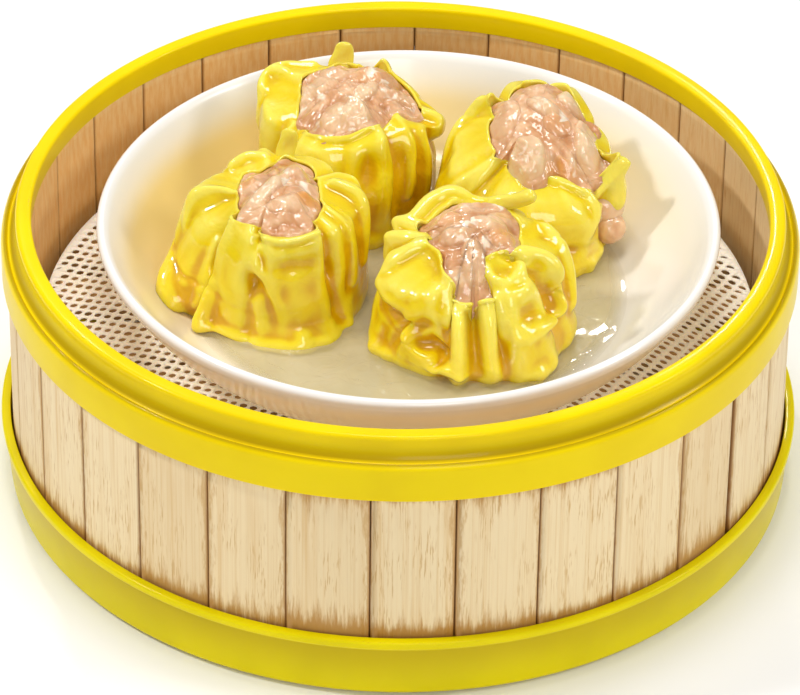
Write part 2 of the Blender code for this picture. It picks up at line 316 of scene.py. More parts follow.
# bamboo: fine fibres and broad bands along V, with short flecks in patches
fibreGroup, fibreIn, fibreOut = newGroup(
    "bambooFibre",
    [("Vector", "NodeSocketVector", None), ("Seed", "NodeSocketFloat", 0.0),
     ("Light", "NodeSocketColor", (0.8, 0.6, 0.4, 1.0)), ("Dark", "NodeSocketColor", (0.5, 0.3, 0.1, 1.0)),
     ("Fleck", "NodeSocketColor", (0.5, 0.3, 0.1, 1.0)),
     ("Streaks", "NodeSocketFloat", 0.5)],
    [("Color", "NodeSocketColor"), ("Height", "NodeSocketFloat")])


def fillFibreGroup(tree, groupIn, groupOut):
    # four noises, all long in V: fibres plus bands mix Light to Dark, flecks within patches add Fleck
    shift = tree.nodes.new("ShaderNodeCombineXYZ")
    tree.links.new(mathNode(tree, "MULTIPLY", groupIn.outputs["Seed"], 37.0), shift.inputs["Z"])
    moved = tree.nodes.new("ShaderNodeVectorMath")
    moved.operation = "ADD"
    tree.links.new(groupIn.outputs["Vector"], moved.inputs[0])
    tree.links.new(shift.outputs["Vector"], moved.inputs[1])
    fine = noiseNode(tree, stretched(tree, moved.outputs[0], (1.9, 0.010, 1.0)), 1.0, 2.0, 0.55)
    broad = noiseNode(tree, stretched(tree, moved.outputs[0], (0.30, 0.02, 1.0)), 1.0, 3.0, 0.6)
    short = noiseNode(tree, stretched(tree, moved.outputs[0], (2.6, 0.16, 1.0)), 1.0, 2.0, 0.6)
    patch = noiseNode(tree, stretched(tree, moved.outputs[0], (0.14, 0.05, 1.0)), 1.0, 2.0, 0.6)
    streak = rampNode(tree, fine, 0.42, 0.72)
    band = rampNode(tree, broad, 0.50, 0.72)
    fleck = mathNode(tree, "MULTIPLY", rampNode(tree, short, 0.54, 0.66), rampNode(tree, patch, 0.42, 0.60))
    mask = mathNode(tree, "MULTIPLY", streak, groupIn.outputs["Streaks"])
    mask = mathNode(tree, "ADD", mask, mathNode(tree, "MULTIPLY", band, 0.32), clamp=True)
    color = mixColor(tree, mask, groupIn.outputs["Light"], groupIn.outputs["Dark"])
    color = mixColor(tree, mathNode(tree, "MULTIPLY", fleck, 0.62), color, groupIn.outputs["Fleck"])
    tree.links.new(color, groupOut.inputs["Color"])
    tree.links.new(fine, groupOut.inputs["Height"])


fillFibreGroup(fibreGroup, fibreIn, fibreOut)


# materials
# crease is the colour of the painted shade on the collar's neck and under the base band's bead
plastic = dict(yellow=((0.91, 0.68, 0.0), (0.85, 0.62, 0.0)), lime=((0.85, 0.71, 0.0), (0.78, 0.65, 0.0)),
               crease=(0.46, 0.31, 0.0), roughness=0.33, coat=0.12, specular=0.12)


def makePlastic(s, name, tones):
    # two mottled tones, with painted shade (browner) where the rim crease attribute grows
    mat, tree, shader, coords = newMaterial(
        name, s["roughness"], coat=s["coat"], coatRough=0.08, ior=1.38, subsurface=0.08,
        subsurfaceRadius=(1.0, 0.7, 0.1), subsurfaceScale=0.002)
    shader.inputs["Specular IOR Level"].default_value = s["specular"]
    mottle = useGroup(tree, mottleGroup, {"Vector": coords}, {"Large": 45.0, "Small": 700.0})
    color = mixColor(tree, mottle.outputs["Mask"], *tones)
    color = mixColor(tree, attributeNode(tree, "rimCreaseShade"), color, s["crease"])
    tree.links.new(color, shader.inputs["Base Color"])
    bumpInto(tree, shader, mottle.outputs["Height"], 0.06, 0.0004)
    return mat


yellowPlastic = makePlastic(plastic, "rimYellowPlastic", plastic["yellow"])
limePlastic = makePlastic(plastic, "baseYellowPlastic", plastic["lime"])


# inside holds the painted warm bounce light on the boards' shaded inner face
bamboo = dict(light=(0.90, 0.72, 0.43), dark=(0.72, 0.46, 0.18), streaks=0.38, fleck=(0.56, 0.30, 0.07),
              burn=(0.46, 0.20, 0.015), sideStain=(0.56, 0.29, 0.06), joint=(0.26, 0.10, 0.02),
              aged=(0.62, 0.40, 0.16), inside=((1.0, 0.64, 0.26), (0.95, 0.52, 0.16)),
              floor=((0.50, 0.28, 0.10), (0.66, 0.42, 0.18)))


def makeWallBamboo(s):
    # fibres first, then stains at the ends and sides, the painted warm bounce light on the inner face, the
    # board's age and its joints
    mat, tree, shader, _ = newMaterial("wallBamboo", 0.55)
    uv = tree.nodes.new("ShaderNodeUVMap")
    uv.uv_map = "boardMap"
    board = uv.outputs["UV"]
    seed = attributeNode(tree, "boardSeed")
    fibre = useGroup(tree, fibreGroup, {"Vector": board, "Seed": seed},
                     {"Light": (*s["light"], 1.0), "Dark": (*s["dark"], 1.0), "Streaks": s["streaks"],
                      "Fleck": (*s["fleck"], 1.0)})
    # spiky fringe at both ends, blotches along a joint: a soft field plus stretched noise, cut at a level
    spikes = noiseNode(tree, stretched(tree, board, (0.55, 0.035, 1.0)), 1.0, 5.0, 0.78)
    blots = noiseNode(tree, stretched(tree, board, (0.9, 0.14, 1.0)), 1.0, 3.0, 0.65)
    spiky = mathNode(tree, "MULTIPLY", mathNode(tree, "SUBTRACT", spikes, 0.5), 2.6)
    blotty = mathNode(tree, "MULTIPLY", mathNode(tree, "SUBTRACT", blots, 0.5), 2.6)
    ends = rampNode(tree, mathNode(tree, "ADD", attributeNode(tree, "boardStain"), spiky), 0.42, 1.15)
    sides = rampNode(tree, mathNode(tree, "ADD", attributeNode(tree, "boardSide"), blotty), 0.50, 1.10)
    color = mixColor(tree, mathNode(tree, "MULTIPLY", sides, 0.62), fibre.outputs["Color"], s["sideStain"])
    color = mixColor(tree, mathNode(tree, "MULTIPLY", ends, 0.88), color, s["burn"])
    # painted warm bounce light on the shaded inner face, where its attribute grows
    warm = mixColor(tree, rampNode(tree, blots, 0.35, 0.65), *s["inside"])
    color = mixColor(tree, mathNode(tree, "MULTIPLY", attributeNode(tree, "boardInsideBounce"), 0.94), color, warm)
    age = mathNode(tree, "MULTIPLY", mathNode(tree, "SUBTRACT", seed, 0.35), 0.42, clamp=True)
    color = mixColor(tree, age, color, s["aged"])
    edge = mathNode(tree, "MULTIPLY", attributeNode(tree, "boardEdge"), 0.80)
    tree.links.new(mixColor(tree, edge, color, s["joint"]), shader.inputs["Base Color"])
    bumpInto(tree, shader, fibre.outputs["Height"], 0.35, 0.0004)
    return mat


def makeFloorBamboo(s):
    # two tones by a noise drawn out along X
    mat, tree, shader, coords = newMaterial("floorBamboo", 0.6)
    grain = noiseNode(tree, stretched(tree, coords, (20.0, 900.0, 900.0)), 1.0, 3.0, 0.6)
    tree.links.new(mixColor(tree, rampNode(tree, grain, 0.3, 0.7), *s["floor"]), shader.inputs["Base Color"])
    bumpInto(tree, shader, grain, 0.3, 0.0003)
    return mat


wallBamboo = makeWallBamboo(bamboo)
floorBamboo = makeFloorBamboo(bamboo)


netTones = dict(tones=((0.98, 0.93, 0.83), (0.96, 0.90, 0.78)), passed=(1.0, 0.92, 0.74), passedShare=0.16)


def makeNetPlastic(s):
    # two mottled tones; a faint glow stands for the light that passes through the thin strands
    mat, tree, shader, coords = newMaterial("matNet", 0.42, subsurface=0.15, subsurfaceScale=0.001)
    mottle = useGroup(tree, mottleGroup, {"Vector": coords}, {"Large": 120.0, "Small": 900.0})
    color = mixColor(tree, mottle.outputs["Mask"], *s["tones"])
    tree.links.new(color, shader.inputs["Base Color"])
    tree.links.new(mixColor(tree, 0.5, color, s["passed"]), shader.inputs["Emission Color"])
    shader.inputs["Emission Strength"].default_value = s["passedShare"]
    bumpInto(tree, shader, mottle.outputs["Height"], 0.2, 0.0003)
    return mat


netPlastic = makeNetPlastic(netTones)

# warm is the painted reflection of the yellow rim and painted shade inside; under is painted warm bounce
# light below the lip
glaze = dict(tones=((0.90, 0.89, 0.875), (0.885, 0.87, 0.85)), warm=(0.86, 0.65, 0.24),
             under=(0.98, 0.84, 0.52), roughness=0.20, coat=0.25)


def makeGlaze(s):
    # two nearly equal whites, with a painted warm reflection of the yellow rim and painted shade where the
    # plate's warm attribute grows, and painted warm bounce light where its under attribute grows
    mat, tree, shader, coords = newMaterial("plateGlaze", s["roughness"], coat=s["coat"], coatRough=0.10)
    mottle = useGroup(tree, mottleGroup, {"Vector": coords}, {"Large": 22.0, "Small": 260.0})
    color = mixColor(tree, mottle.outputs["Mask"], *s["tones"])
    color = mixColor(tree, attributeNode(tree, "plateBounceShade"), color, s["warm"])
    color = mixColor(tree, attributeNode(tree, "plateUnderBounce"), color, s["under"])
    tree.links.new(color, shader.inputs["Base Color"])
    bumpInto(tree, shader, mottle.outputs["Height"], 0.03, 0.0004)
    return mat


plateGlaze = makeGlaze(glaze)

# dough tones: the deep pair is painted shade, the pale one painted light, the middle pair the dough's own
# yellow
dough = dict(deep=((0.62, 0.32, 0.0), (0.74, 0.43, 0.0)), middle=((0.79, 0.57, 0.0), (0.83, 0.66, 0.015)),
             pale=(0.88, 0.75, 0.10), roughness=0.34, coat=1.0, coatRough=0.045, specular=0.20)


def makeDough(s):
    # three tones by the fold attribute: painted shade deep in the creases and on shaded sides, painted light
    # pale on the ridges, blotchy between
    mat, tree, shader, coords = newMaterial(
        "doughYellow", s["roughness"], coat=s["coat"], coatRough=s["coatRough"], ior=1.38, subsurface=0.30,
        subsurfaceRadius=(1.0, 0.72, 0.12), subsurfaceScale=0.0024)
    shader.inputs["Specular IOR Level"].default_value = s["specular"]
    fold = attributeNode(tree, "foldShading")
    blotch = noiseNode(tree, coords, 120.0, 3.0, 0.55, 0.6)
    fine = noiseNode(tree, coords, 900.0, 4.0, 0.6)
    deep = mixColor(tree, rampNode(tree, blotch, 0.35, 0.7), *s["deep"])
    middle = mixColor(tree, rampNode(tree, blotch, 0.3, 0.7), *s["middle"])
    color = mixColor(tree, rampNode(tree, fold, 0.0, 0.55), deep, middle)
    color = mixColor(tree, rampNode(tree, fold, 0.55, 1.0), color, s["pale"])
    tree.links.new(color, shader.inputs["Base Color"])
    wrinkle = noiseNode(tree, coords, 330.0, 2.0, 0.5, 0.4)
    height = mathNode(tree, "ADD", blotch, mathNode(tree, "MULTIPLY", wrinkle, 0.34))
    height = mathNode(tree, "ADD", height, mathNode(tree, "MULTIPLY", fine, 0.06))
    bumpInto(tree, shader, height, 0.5, 0.0012)
    return mat


doughYellow = makeDough(dough)

# the brown for the hollows is painted shade in the filling's dips
mince = dict(meat=((0.66, 0.33, 0.15), (0.80, 0.50, 0.28)), fat=((0.88, 0.69, 0.44), (0.82, 0.56, 0.32)),
             shrimp=(0.72, 0.30, 0.05), specks=(0.92, 0.78, 0.60), hollowShade=(0.50, 0.19, 0.05),
             roughness=0.30, coat=1.0, coatRough=0.09)


def makeMince(s):
    # meat and fat by the minceTone attribute, orange by minceOrange, pale specks, and painted shade (brown)
    # in the hollows
    mat, tree, shader, coords = newMaterial(
        "fillingMince", s["roughness"], coat=s["coat"], coatRough=s["coatRough"], ior=1.42, subsurface=0.30,
        subsurfaceRadius=(1.0, 0.45, 0.25), subsurfaceScale=0.003)
    blotch = noiseNode(tree, coords, 150.0, 3.0, 0.55, 0.8)
    fine = noiseNode(tree, coords, 900.0, 3.0, 0.6)
    spots = noiseNode(tree, coords, 260.0, 2.0, 0.5, 0.6)
    meat = mixColor(tree, rampNode(tree, blotch, 0.32, 0.68), *s["meat"])
    fat = mixColor(tree, rampNode(tree, spots, 0.35, 0.65), *s["fat"])
    color = mixColor(tree, attributeNode(tree, "minceTone"), meat, fat)
    color = mixColor(tree, attributeNode(tree, "minceOrange"), color, s["shrimp"])
    color = mixColor(tree, rampNode(tree, spots, 0.60, 0.72), color, s["specks"])
    hollowShade = mathNode(tree, "MULTIPLY", attributeNode(tree, "minceHollowShade"), 0.85)
    tree.links.new(mixColor(tree, hollowShade, color, s["hollowShade"]), shader.inputs["Base Color"])
    height = mathNode(tree, "ADD", blotch, mathNode(tree, "MULTIPLY", fine, 0.05))
    bumpInto(tree, shader, height, 0.5, 0.0015)
    return mat


fillingMince = makeMince(mince)

brothTones = dict(tones=((0.66, 0.55, 0.27), (0.72, 0.61, 0.34)), mostCover=0.54, roughness=0.03,
                  ripple=0.0007)


def makeBroth(s):
    # two swirled tones; it covers more where the brothDepth attribute grows
    mat, tree, shader, coords = newMaterial("brothThin", s["roughness"], coat=1.0, coatRough=0.02, ior=1.5)
    swirl = noiseNode(tree, coords, 60.0, 2.0, 0.5)
    tree.links.new(mixColor(tree, rampNode(tree, swirl, 0.3, 0.7), *s["tones"]), shader.inputs["Base Color"])
    cover = mathNode(tree, "MULTIPLY", attributeNode(tree, "brothDepth"), s["mostCover"])
    tree.links.new(cover, shader.inputs["Alpha"])
    bumpInto(tree, shader, noiseNode(tree, coords, 170.0, 2.0, 0.5, 1.4), 1.0, s["ripple"])
    return mat


brothThin = makeBroth(brothTones)
print("materials ready")


# basket rims
rims = dict(steps=288, collarTop=68.4, topOuter=87.0, topInner=83.15, skirtBottom=62.6, creaseR=88.6,
            creaseZ=62.8, flangeR=90.2, flangeBottom=53.7, channelR=86.7, channelLow=61.3,
            channelTop=65.7, slatOuter=89.0, slatInner=84.7, play=0.4, lipR=91.5, lipTop=15.8,
            baseR=89.5, ledgeTop=9.0, grooveLow=3.1)


def paintCreaseShade(rim, low, high):
    # painted shade: deeper colour on the outer side, strongest just above low and fading out towards high,
    # for the shade under the collar's top and under the base band's bead
    at = np.empty(3 * len(rim.data.vertices))
    rim.data.vertices.foreach_get("co", at)
    x, y, z = at.reshape(-1, 3).T / mm
    outside = smoothStep(85.5, 86.4, np.hypot(x, y))
    band = smoothStep(low - 0.4, low + 0.3, z) * (1.0 - smoothStep(low, high, z))
    pointAttribute(rim, "rimCreaseShade", outside * band)


def makeCollar(s):
    # section from the flat top down the outside: neck, crease, flange, then the slats' channel and the skirt
    slatOut = s["slatOuter"] + s["play"]
    slatIn = s["slatInner"] - 0.35
    top, crease = s["collarTop"], s["creaseZ"]
    corners = [(s["topInner"], top, 0.9), (s["topOuter"], top, 2.0), (s["topOuter"] - 0.35, top - 2.6, 1.6),
               (s["creaseR"] - 1.3, crease + 0.9, 1.0), (s["creaseR"] - 0.1, crease - 0.35, 0.3),
               (s["flangeR"] - 0.9, crease + 0.45, 0.5), (s["flangeR"], crease - 0.7, 1.0),
               (s["flangeR"], s["flangeBottom"], 0.35), (slatOut, s["flangeBottom"], 0.2),
               (slatOut, s["channelLow"], 0.2), (s["channelR"], s["channelLow"], 0.2),
               (s["channelR"], s["channelTop"], 0.2), (slatIn, s["channelTop"], 0.2),
               (slatIn, s["skirtBottom"], 0.2), (s["topInner"] + 0.3, s["skirtBottom"], 0.4)]
    rim = turnedRing("collar_rim", corners, s["steps"], yellowPlastic)
    # painted shade on the neck just above the crease
    paintCreaseShade(rim, crease, crease + 3.4)
    return rim


def makeBaseBand(s):
    # section from the bead down the outside, under the foot and up the inside to the slats' groove
    slatOut = s["slatOuter"] + s["play"]
    slatIn = s["slatInner"] - 0.35
    lip = s["lipTop"]
    corners = [(slatOut, lip, 0.25), (s["lipR"], lip, 0.7), (s["lipR"], lip - 1.7, 0.5),
               (s["lipR"] - 0.7, lip - 2.2, 0.4), (s["baseR"] + 0.3, 0.9, 0.8), (s["baseR"] - 0.6, 0.0, 0.3),
               (s["topInner"], 0.0, 0.5), (s["topInner"], s["ledgeTop"], 0.4), (slatIn, s["ledgeTop"], 0.3),
               (slatIn, s["grooveLow"], 0.1), (slatOut, s["grooveLow"], 0.1)]
    rim = turnedRing("base_band_rim", corners, s["steps"], limePlastic)
    # painted shade just under the bead
    paintCreaseShade(rim, lip - 3.0, lip - 1.9)
    return rim


finishPiece(makeCollar(rims), "rim_plastic", "collar")
finishPiece(makeBaseBand(rims), "rim_plastic", "base_band")
print("rims done")


# bamboo wall
# the heading and half width near the end aim the painted light that leaves the inner face pale where it is
# lit
wall = dict(count=30, outer=89.0, inner=84.7, bottom=3.4, shoulder=61.0, tongueR=86.4, tongueTop=65.4,
            first=-93.6, drift=0.9, gap=0.07, wideGap=0.75, wideGapAt=4, edgeRound=0.55, crown=0.12,
            stainLow=16.0, stainHigh=53.5, insideLitTo=0.0, insideLitHalf=44.0, seed=7)


def boardEdges(s):
    # headings of the joints: an even pitch, plus a drift that grows and shrinks once round the wall
    pitch = 360.0 / s["count"]
    k = np.arange(s["count"] + 1)
    return s["first"] + pitch * k + s["drift"] * (1.0 - np.cos(np.radians(pitch * k)))


def boardSection(s, wide, rnd, outer):
    # a crowned rectangle with quarter-round corners as (offset along the arc, radius), run
    # anticlockwise seen from above
    inner = s["inner"] + 0.05
    face = outer - s["crown"]
    across = np.linspace(-1.0, 1.0, 15)
    corner = np.linspace(0.0, math.pi / 2.0, 5)
    sine, cosine = rnd * np.sin(corner), rnd * np.cos(corner)
    flat = wide - rnd
    outSide = np.stack([across * flat, face + s["crown"] * (1.0 - across ** 2)], -1)
    rightOut = np.stack([flat + sine, face - rnd + cosine], -1)
    rightIn = np.stack([flat + cosine, inner + rnd - sine], -1)
    inSide = np.stack([across[::-1] * flat, np.full(15, inner)], -1)
    leftIn = np.stack([-flat - cosine[::-1], inner + rnd - sine[::-1]], -1)
    leftOut = np.stack([-flat - sine[::-1], face - rnd + cosine[::-1]], -1)
    return np.concatenate([outSide, rightOut[1:], rightIn, inSide[1:], leftIn[1:], leftOut])


def paintBoard(s, board, u, v, wide, rnd, inside, middle, rng):
    # UVs in millimetres along and up the board, stains that die away from its ends and its two sides
    layer = board.data.uv_layers.new(name="boardMap")
    loops = np.zeros(len(board.data.loops), dtype=np.int32)
    board.data.loops.foreach_get("vertex_index", loops)
    layer.data.foreach_set("uv", np.stack([u[loops], v[loops]], -1).astype(np.float32).ravel())
    pointAttribute(board, "boardSeed", np.full(len(u), rng.uniform(0.0, 1.0)))
    low = np.exp(-np.clip(v - s["stainLow"], 0.0, None) / rng.uniform(3.0, 7.5)) * rng.uniform(0.95, 1.5)
    top = np.exp(-np.clip(s["stainHigh"] - v, 0.0, None) / rng.uniform(2.0, 5.0)) * rng.uniform(0.1, 1.2)
    side = np.exp(-(wide - u) / 1.6) * rng.uniform(0.1, 1.6)
    side = side + np.exp(-(wide + u) / 1.6) * rng.uniform(0.1, 1.6)
    # painted light: the inner face takes the warm bounce tint, faded out round the heading where that face
    # is lit and pale
    bounceShare = 1.0 - 0.88 * math.exp(-(angleFrom(middle, s["insideLitTo"]) / s["insideLitHalf"]) ** 2)
    pointAttribute(board, "boardInsideBounce", inside * bounceShare)
    pointAttribute(board, "boardStain", np.where(inside, 0.0, np.maximum(low, top)))
    pointAttribute(board, "boardSide", np.where(inside, 0.3, side))
    pointAttribute(board, "boardEdge", np.clip((np.abs(u) - (wide - rnd)) / rnd, 0.0, 1.0) ** 1.5)


def makeBoard(s, number, startDeg, endDeg, rng):
    # the section lofted upwards with slightly wavy sides; the last two levels step in to the tongue
    half = math.radians((endDeg - startDeg) / 2.0)
    middle = math.radians((startDeg + endDeg) / 2.0)
    outer = s["outer"] - rng.uniform(0.0, 0.16)
    wide = half * outer
    rnd = s["edgeRound"] * rng.uniform(0.8, 1.25)
    outline = boardSection(s, wide, rnd, outer)
    levels = np.concatenate([np.linspace(s["bottom"], s["shoulder"], 40), [s["shoulder"], s["tongueTop"]]])
    offset = outline[:, 0][None, :] * np.ones((len(levels), 1))
    radius = outline[:, 1][None, :] * np.ones((len(levels), 1))
    sway = 0.03 * np.sin(levels / 9.0 + rng.uniform(0, 6))[:, None]
    offset = offset + sway * np.sign(offset) * (np.abs(offset) > wide - rnd)
    radius[-2:] = np.minimum(radius[-2:], s["tongueR"])
    angle = middle + offset / outer
    up = np.repeat(levels[:, None], outline.shape[0], 1)
    rings = np.stack([radius * np.cos(angle), radius * np.sin(angle), up], -1)
    points, faces = closedShell(rings, rings[0].mean(axis=0), rings[-1].mean(axis=0))
    board = meshPiece("bamboo_board_%02d" % (number + 1), points, faces, wallBamboo)
    u = np.concatenate([offset.ravel(), [0.0, 0.0]])
    v = np.concatenate([up.ravel(), [levels[0], levels[-1]]])
    inside = np.concatenate([(radius < s["inner"] + 1.55).ravel(), [False, False]])
    paintBoard(s, board, u, v, wide, rnd, inside, middle, rng)
    return board


def makeWall(s):
    # the boards side by side, with one joint wider than the rest
    rng = np.random.default_rng(s["seed"])
    edges = boardEdges(s)
    for i in range(s["count"]):
        gap = s["wideGap"] if i == s["wideGapAt"] else s["gap"]
        board = makeBoard(s, i, edges[i], edges[i + 1] - gap, rng)
        finishPiece(board, "bamboo_wall", "slat_%02d" % (i + 1))


makeWall(wall)
for strip in [o for o in bpy.data.objects if o.name.startswith("floor_")]:
    strip.data.materials.clear()
    strip.data.materials.append(floorBamboo)
print("bamboo done")


# plate outline, which the mat and the dumplings also follow
# the last four numbers aim and size the painted warm reflection and the painted shade inside the plate
plate = dict(x=1.8, y=5.2, top=62.0, radius=71.0, foot=38.1, floor=41.0, steps=256,
             bounceTo=148.0, bounceHalf=62.0, shadeTo=80.0, shadeHalf=60.0)


def plateOutline(s):
    # filleted corners from the middle of the underside round the foot, up the outer wall, over the lip
    # and down the inside to the middle
    t = s["top"]
    corners = [(46.0, s["floor"] + 0.2, 6.0), (51.0, t - 20.1, 4.0), (55.2, t - 17.6, 4.0),
               (60.6, t - 12.4, 4.0), (64.8, t - 6.9, 4.0), (68.15, t - 1.2, 0.9), (69.6, t, 1.0),
               (70.9, t - 1.0, 0.8), (s["radius"] - 0.35, t - 2.6, 1.2), (66.6, t - 8.9, 4.0),
               (62.0, t - 14.6, 4.0), (56.4, t - 20.0, 4.0), (50.6, s["foot"], 0.6), (47.4, s["foot"], 0.5),
               (46.4, s["foot"] + 1.0, 0.4)]
    outline = filletProfile(corners + [(1.0, s["foot"] + 1.0, 0.0), (1.0, s["floor"], 0.0)], 6)
    return outline[:-12][::-1]


# perforated mat
net = dict(radius=80.7, low=37.2, high=37.78, stepA=(2.3, -1.35), stepB=(1.05, 2.0), bend=0.0028,
           holeAlong=0.350, holeAcross=0.345, cells=60, seed=3)


def netPlace(s, i, j):
    # lattice of cells, bent into shallow arcs: y falls with the square of x
    x = s["stepA"][0] * i + s["stepB"][0] * j
    y = s["stepA"][1] * i + s["stepB"][1] * j - s["bend"] * x * x + 6.0
    x = x + 0.10 * np.sin(0.9 * i + 0.5 * j) + 0.06 * np.cos(1.7 * j)
    y = y + 0.10 * np.cos(0.7 * j - 0.4 * i)
    return x, y


def netLift(x, y):
    # gentle waves, higher towards the round edge and none under the plate's foot
    wave = 0.10 * np.sin(x / 7.0) * np.cos(y / 9.0)
    edge = smoothStep(74.0, 82.0, np.hypot(x, y)) * 0.35 * (1.0 + np.sin(5.0 * np.arctan2(y, x)))
    return (wave + edge) * smoothStep(54.0, 60.0, np.hypot(x - plate["x"], y - plate["y"]))


def makeNetMat(s):
    # each cell is a square of the lattice with an eight-sided hole; neighbours share their corners
    span = s["cells"]
    gi, gj = np.meshgrid(np.arange(-span, span), np.arange(-span, span), indexing="ij")
    cx, cy = netPlace(s, gi, gj)
    keep = np.hypot(cx, cy) < s["radius"] - 0.2
    cellI, cellJ = gi[keep], gj[keep]
    count = len(cellI)
    side = 2 * span + 1
    keys = np.stack([(cellI + span + a) * side + (cellJ + span + b)
                     for a, b in ((1, 1), (0, 1), (0, 0), (1, 0))], -1)
    unique, inverse = np.unique(keys, return_inverse=True)
    corner = inverse.reshape(keys.shape)
    kx, ky = netPlace(s, unique // side - span - 0.5, unique % side - span - 0.5)
    # cell sides used once lie on the outside; their ends move out or in to the round edge
    nk = len(unique)
    edgeA = np.concatenate([corner[:, c] for c in range(4)])
    edgeB = np.concatenate([corner[:, (c + 1) % 4] for c in range(4)])
    lone = ~np.isin(edgeA.astype(np.int64) * nk + edgeB, edgeB.astype(np.int64) * nk + edgeA)
    rim = np.zeros(nk, dtype=bool)
    rim[edgeA[lone]] = True
    trim = np.where(rim, (s["radius"] + 0.8) / np.maximum(np.hypot(kx, ky), 1.0), 1.0)
    kx, ky = kx * trim, ky * trim
    turn = np.radians(45.0 * np.arange(8) + 22.5)
    grow = 1.04 * np.random.default_rng(s["seed"]).uniform(0.86, 1.08, count)[:, None]
    hx, hy = netPlace(s, cellI[:, None] + s["holeAlong"] * grow * np.cos(turn),
                      cellJ[:, None] + s["holeAcross"] * grow * np.sin(turn))
    thick = s["high"] - s["low"]
    cornerZ = s["low"] + 0.06 + netLift(kx, ky)
    holeZ = s["low"] + 0.06 + netLift(hx, hy)
    points = np.concatenate([np.stack([kx, ky, cornerZ + thick * 0.86], -1),
                             np.stack([kx, ky, cornerZ - 0.02], -1),
                             np.stack([hx, hy, holeZ + thick * 0.62], -1).reshape(-1, 3),
                             np.stack([hx, hy, holeZ + thick * 0.12], -1).reshape(-1, 3)])
    hole = (2 * nk + np.arange(count * 8)).reshape(count, 8)
    low = count * 8  # from a hole's upper ring of points to its lower one
    quads = []
    tris = []
    for c in range(4):
        n = (c + 1) % 4
        first, last, after = hole[:, 2 * c], hole[:, 2 * c + 1], hole[:, (2 * c + 2) % 8]
        tris.append(np.stack([corner[:, c], last, first], -1))
        tris.append(np.stack([corner[:, c] + nk, first + low, last + low], -1))
        quads.append(np.stack([corner[:, c], corner[:, n], after, last], -1))
        quads.append(np.stack([corner[:, n] + nk, corner[:, c] + nk, last + low, after + low], -1))
    for m in range(8):
        n = (m + 1) % 8
        quads.append(np.stack([hole[:, m], hole[:, n], hole[:, n] + low, hole[:, m] + low], -1))
    # the outside gets an upright wall
    quads.append(np.stack([edgeB[lone], edgeA[lone], edgeA[lone] + nk, edgeB[lone] + nk], -1))
    return meshPiece("mat_net", points, quads + tris, netPlastic)


finishPiece(makeNetMat(net), "mat", "mat")
print("mat done")


# plate
def makePlate(s):
    # the outline turned round the plate's own middle
    outline = plateOutline(s)
    a = np.arange(s["steps"]) * tau / s["steps"]
    r = outline[:, 0][:, None]
    z = outline[:, 1][:, None]
    rings = np.stack([s["x"] + r * np.cos(a), s["y"] + r * np.sin(a), z + 0.0 * a], -1)
    points, faces = closedShell(rings, (s["x"], s["y"], s["foot"] + 1.0), (s["x"], s["y"], s["floor"]))
    obj = meshPiece("plate_dish", points, faces, plateGlaze)
    # painted light: a warm reflection of the yellow rim and the wall inside, strongest on the left with a
    # trace all over below the lip, painted shade at the back, and warm bounce light outside below the lip
    inside = (np.arange(len(z)) > np.argmax(z))[:, None]
    left = np.exp(-(angleFrom(a, s["bounceTo"]) / s["bounceHalf"]) ** 2)
    back = np.exp(-(angleFrom(a, s["shadeTo"]) / s["shadeHalf"]) ** 2)
    well = smoothStep(40.0, 52.0, r) * (1.0 - smoothStep(62.0, 67.5, r))
    warm = np.where(inside, (0.92 * left + 0.70 * back * (1.0 - left)) * well + 0.05 * (r < 67.0), 0.0)
    under = np.where(inside, 0.0, 0.9 * (1.0 - smoothStep(55.0, 61.0, z))) * np.ones(len(a))
    pointAttribute(obj, "plateBounceShade", np.concatenate([warm.ravel(), [0.0, 0.0]]))
    pointAttribute(obj, "plateUnderBounce", np.concatenate([under.ravel(), [0.0, 0.0]]))
    return obj


finishPiece(makePlate(plate), "plate", "plate")
print("plate done")


# dumplings
def cubicBetween(t, h, first, firstSlope, last, lastSlope):
    # cubic from first to last over a step h, with the given slopes at its ends, read at fraction t
    return ((1 + 2 * t) * (1 - t) ** 2 * first + t * (1 - t) ** 2 * h * firstSlope
            + t ** 2 * (3 - 2 * t) * last + t ** 2 * (t - 1) * h * lastSlope)


def easyCurve(x, xs, ys):
    # cubics through (xs, ys) that never overshoot: each slope is the harmonic mean of its neighbours
    step = np.diff(xs)
    rise = np.diff(ys, axis=0) / step[:, None]
    product = rise[:-1] * rise[1:]
    inner = np.where(product > 0, 2.0 * product / np.where(product > 0, rise[:-1] + rise[1:], 1.0), 0.0)
    slopes = np.concatenate([rise[:1], inner, rise[-1:]])
    i = np.clip(np.searchsorted(xs, x) - 1, 0, len(xs) - 2)
    t = ((x - xs[i]) / step[i])[:, None]
    return cubicBetween(t, step[i][:, None], ys[i], slopes[i], ys[i + 1], slopes[i + 1])


def aroundCurves(d, theta):
    # the outline rows of a dumpling read at angle theta, carried on past both ends of the turn
    rows = np.array(sorted(d["outline"]), dtype=float)
    low, high = rows[-3:].copy(), rows[:3].copy()
    low[:, 0] -= 360.0
    high[:, 0] += 360.0
    rows = np.concatenate([low, rows, high])
    return easyCurve(np.degrees(theta) % 360.0, rows[:, 0], rows[:, 1:])


def foldShape(kind, s):
    # s is the distance from the fold's middle over its half width: a lobe is round and full, a groove
    # is pointed, and a ridge is a bell curve
    if kind == "lobe":
        return np.where(np.abs(s) < 1.0, np.clip(1.0 - np.abs(s) ** 2.2, 0.0, 1.0) ** 0.62, 0.0)
    if kind == "groove":
        return np.exp(-np.sqrt(s * s + 0.05) * 1.9 + 0.42)
    return np.exp(-1.6 * s * s)


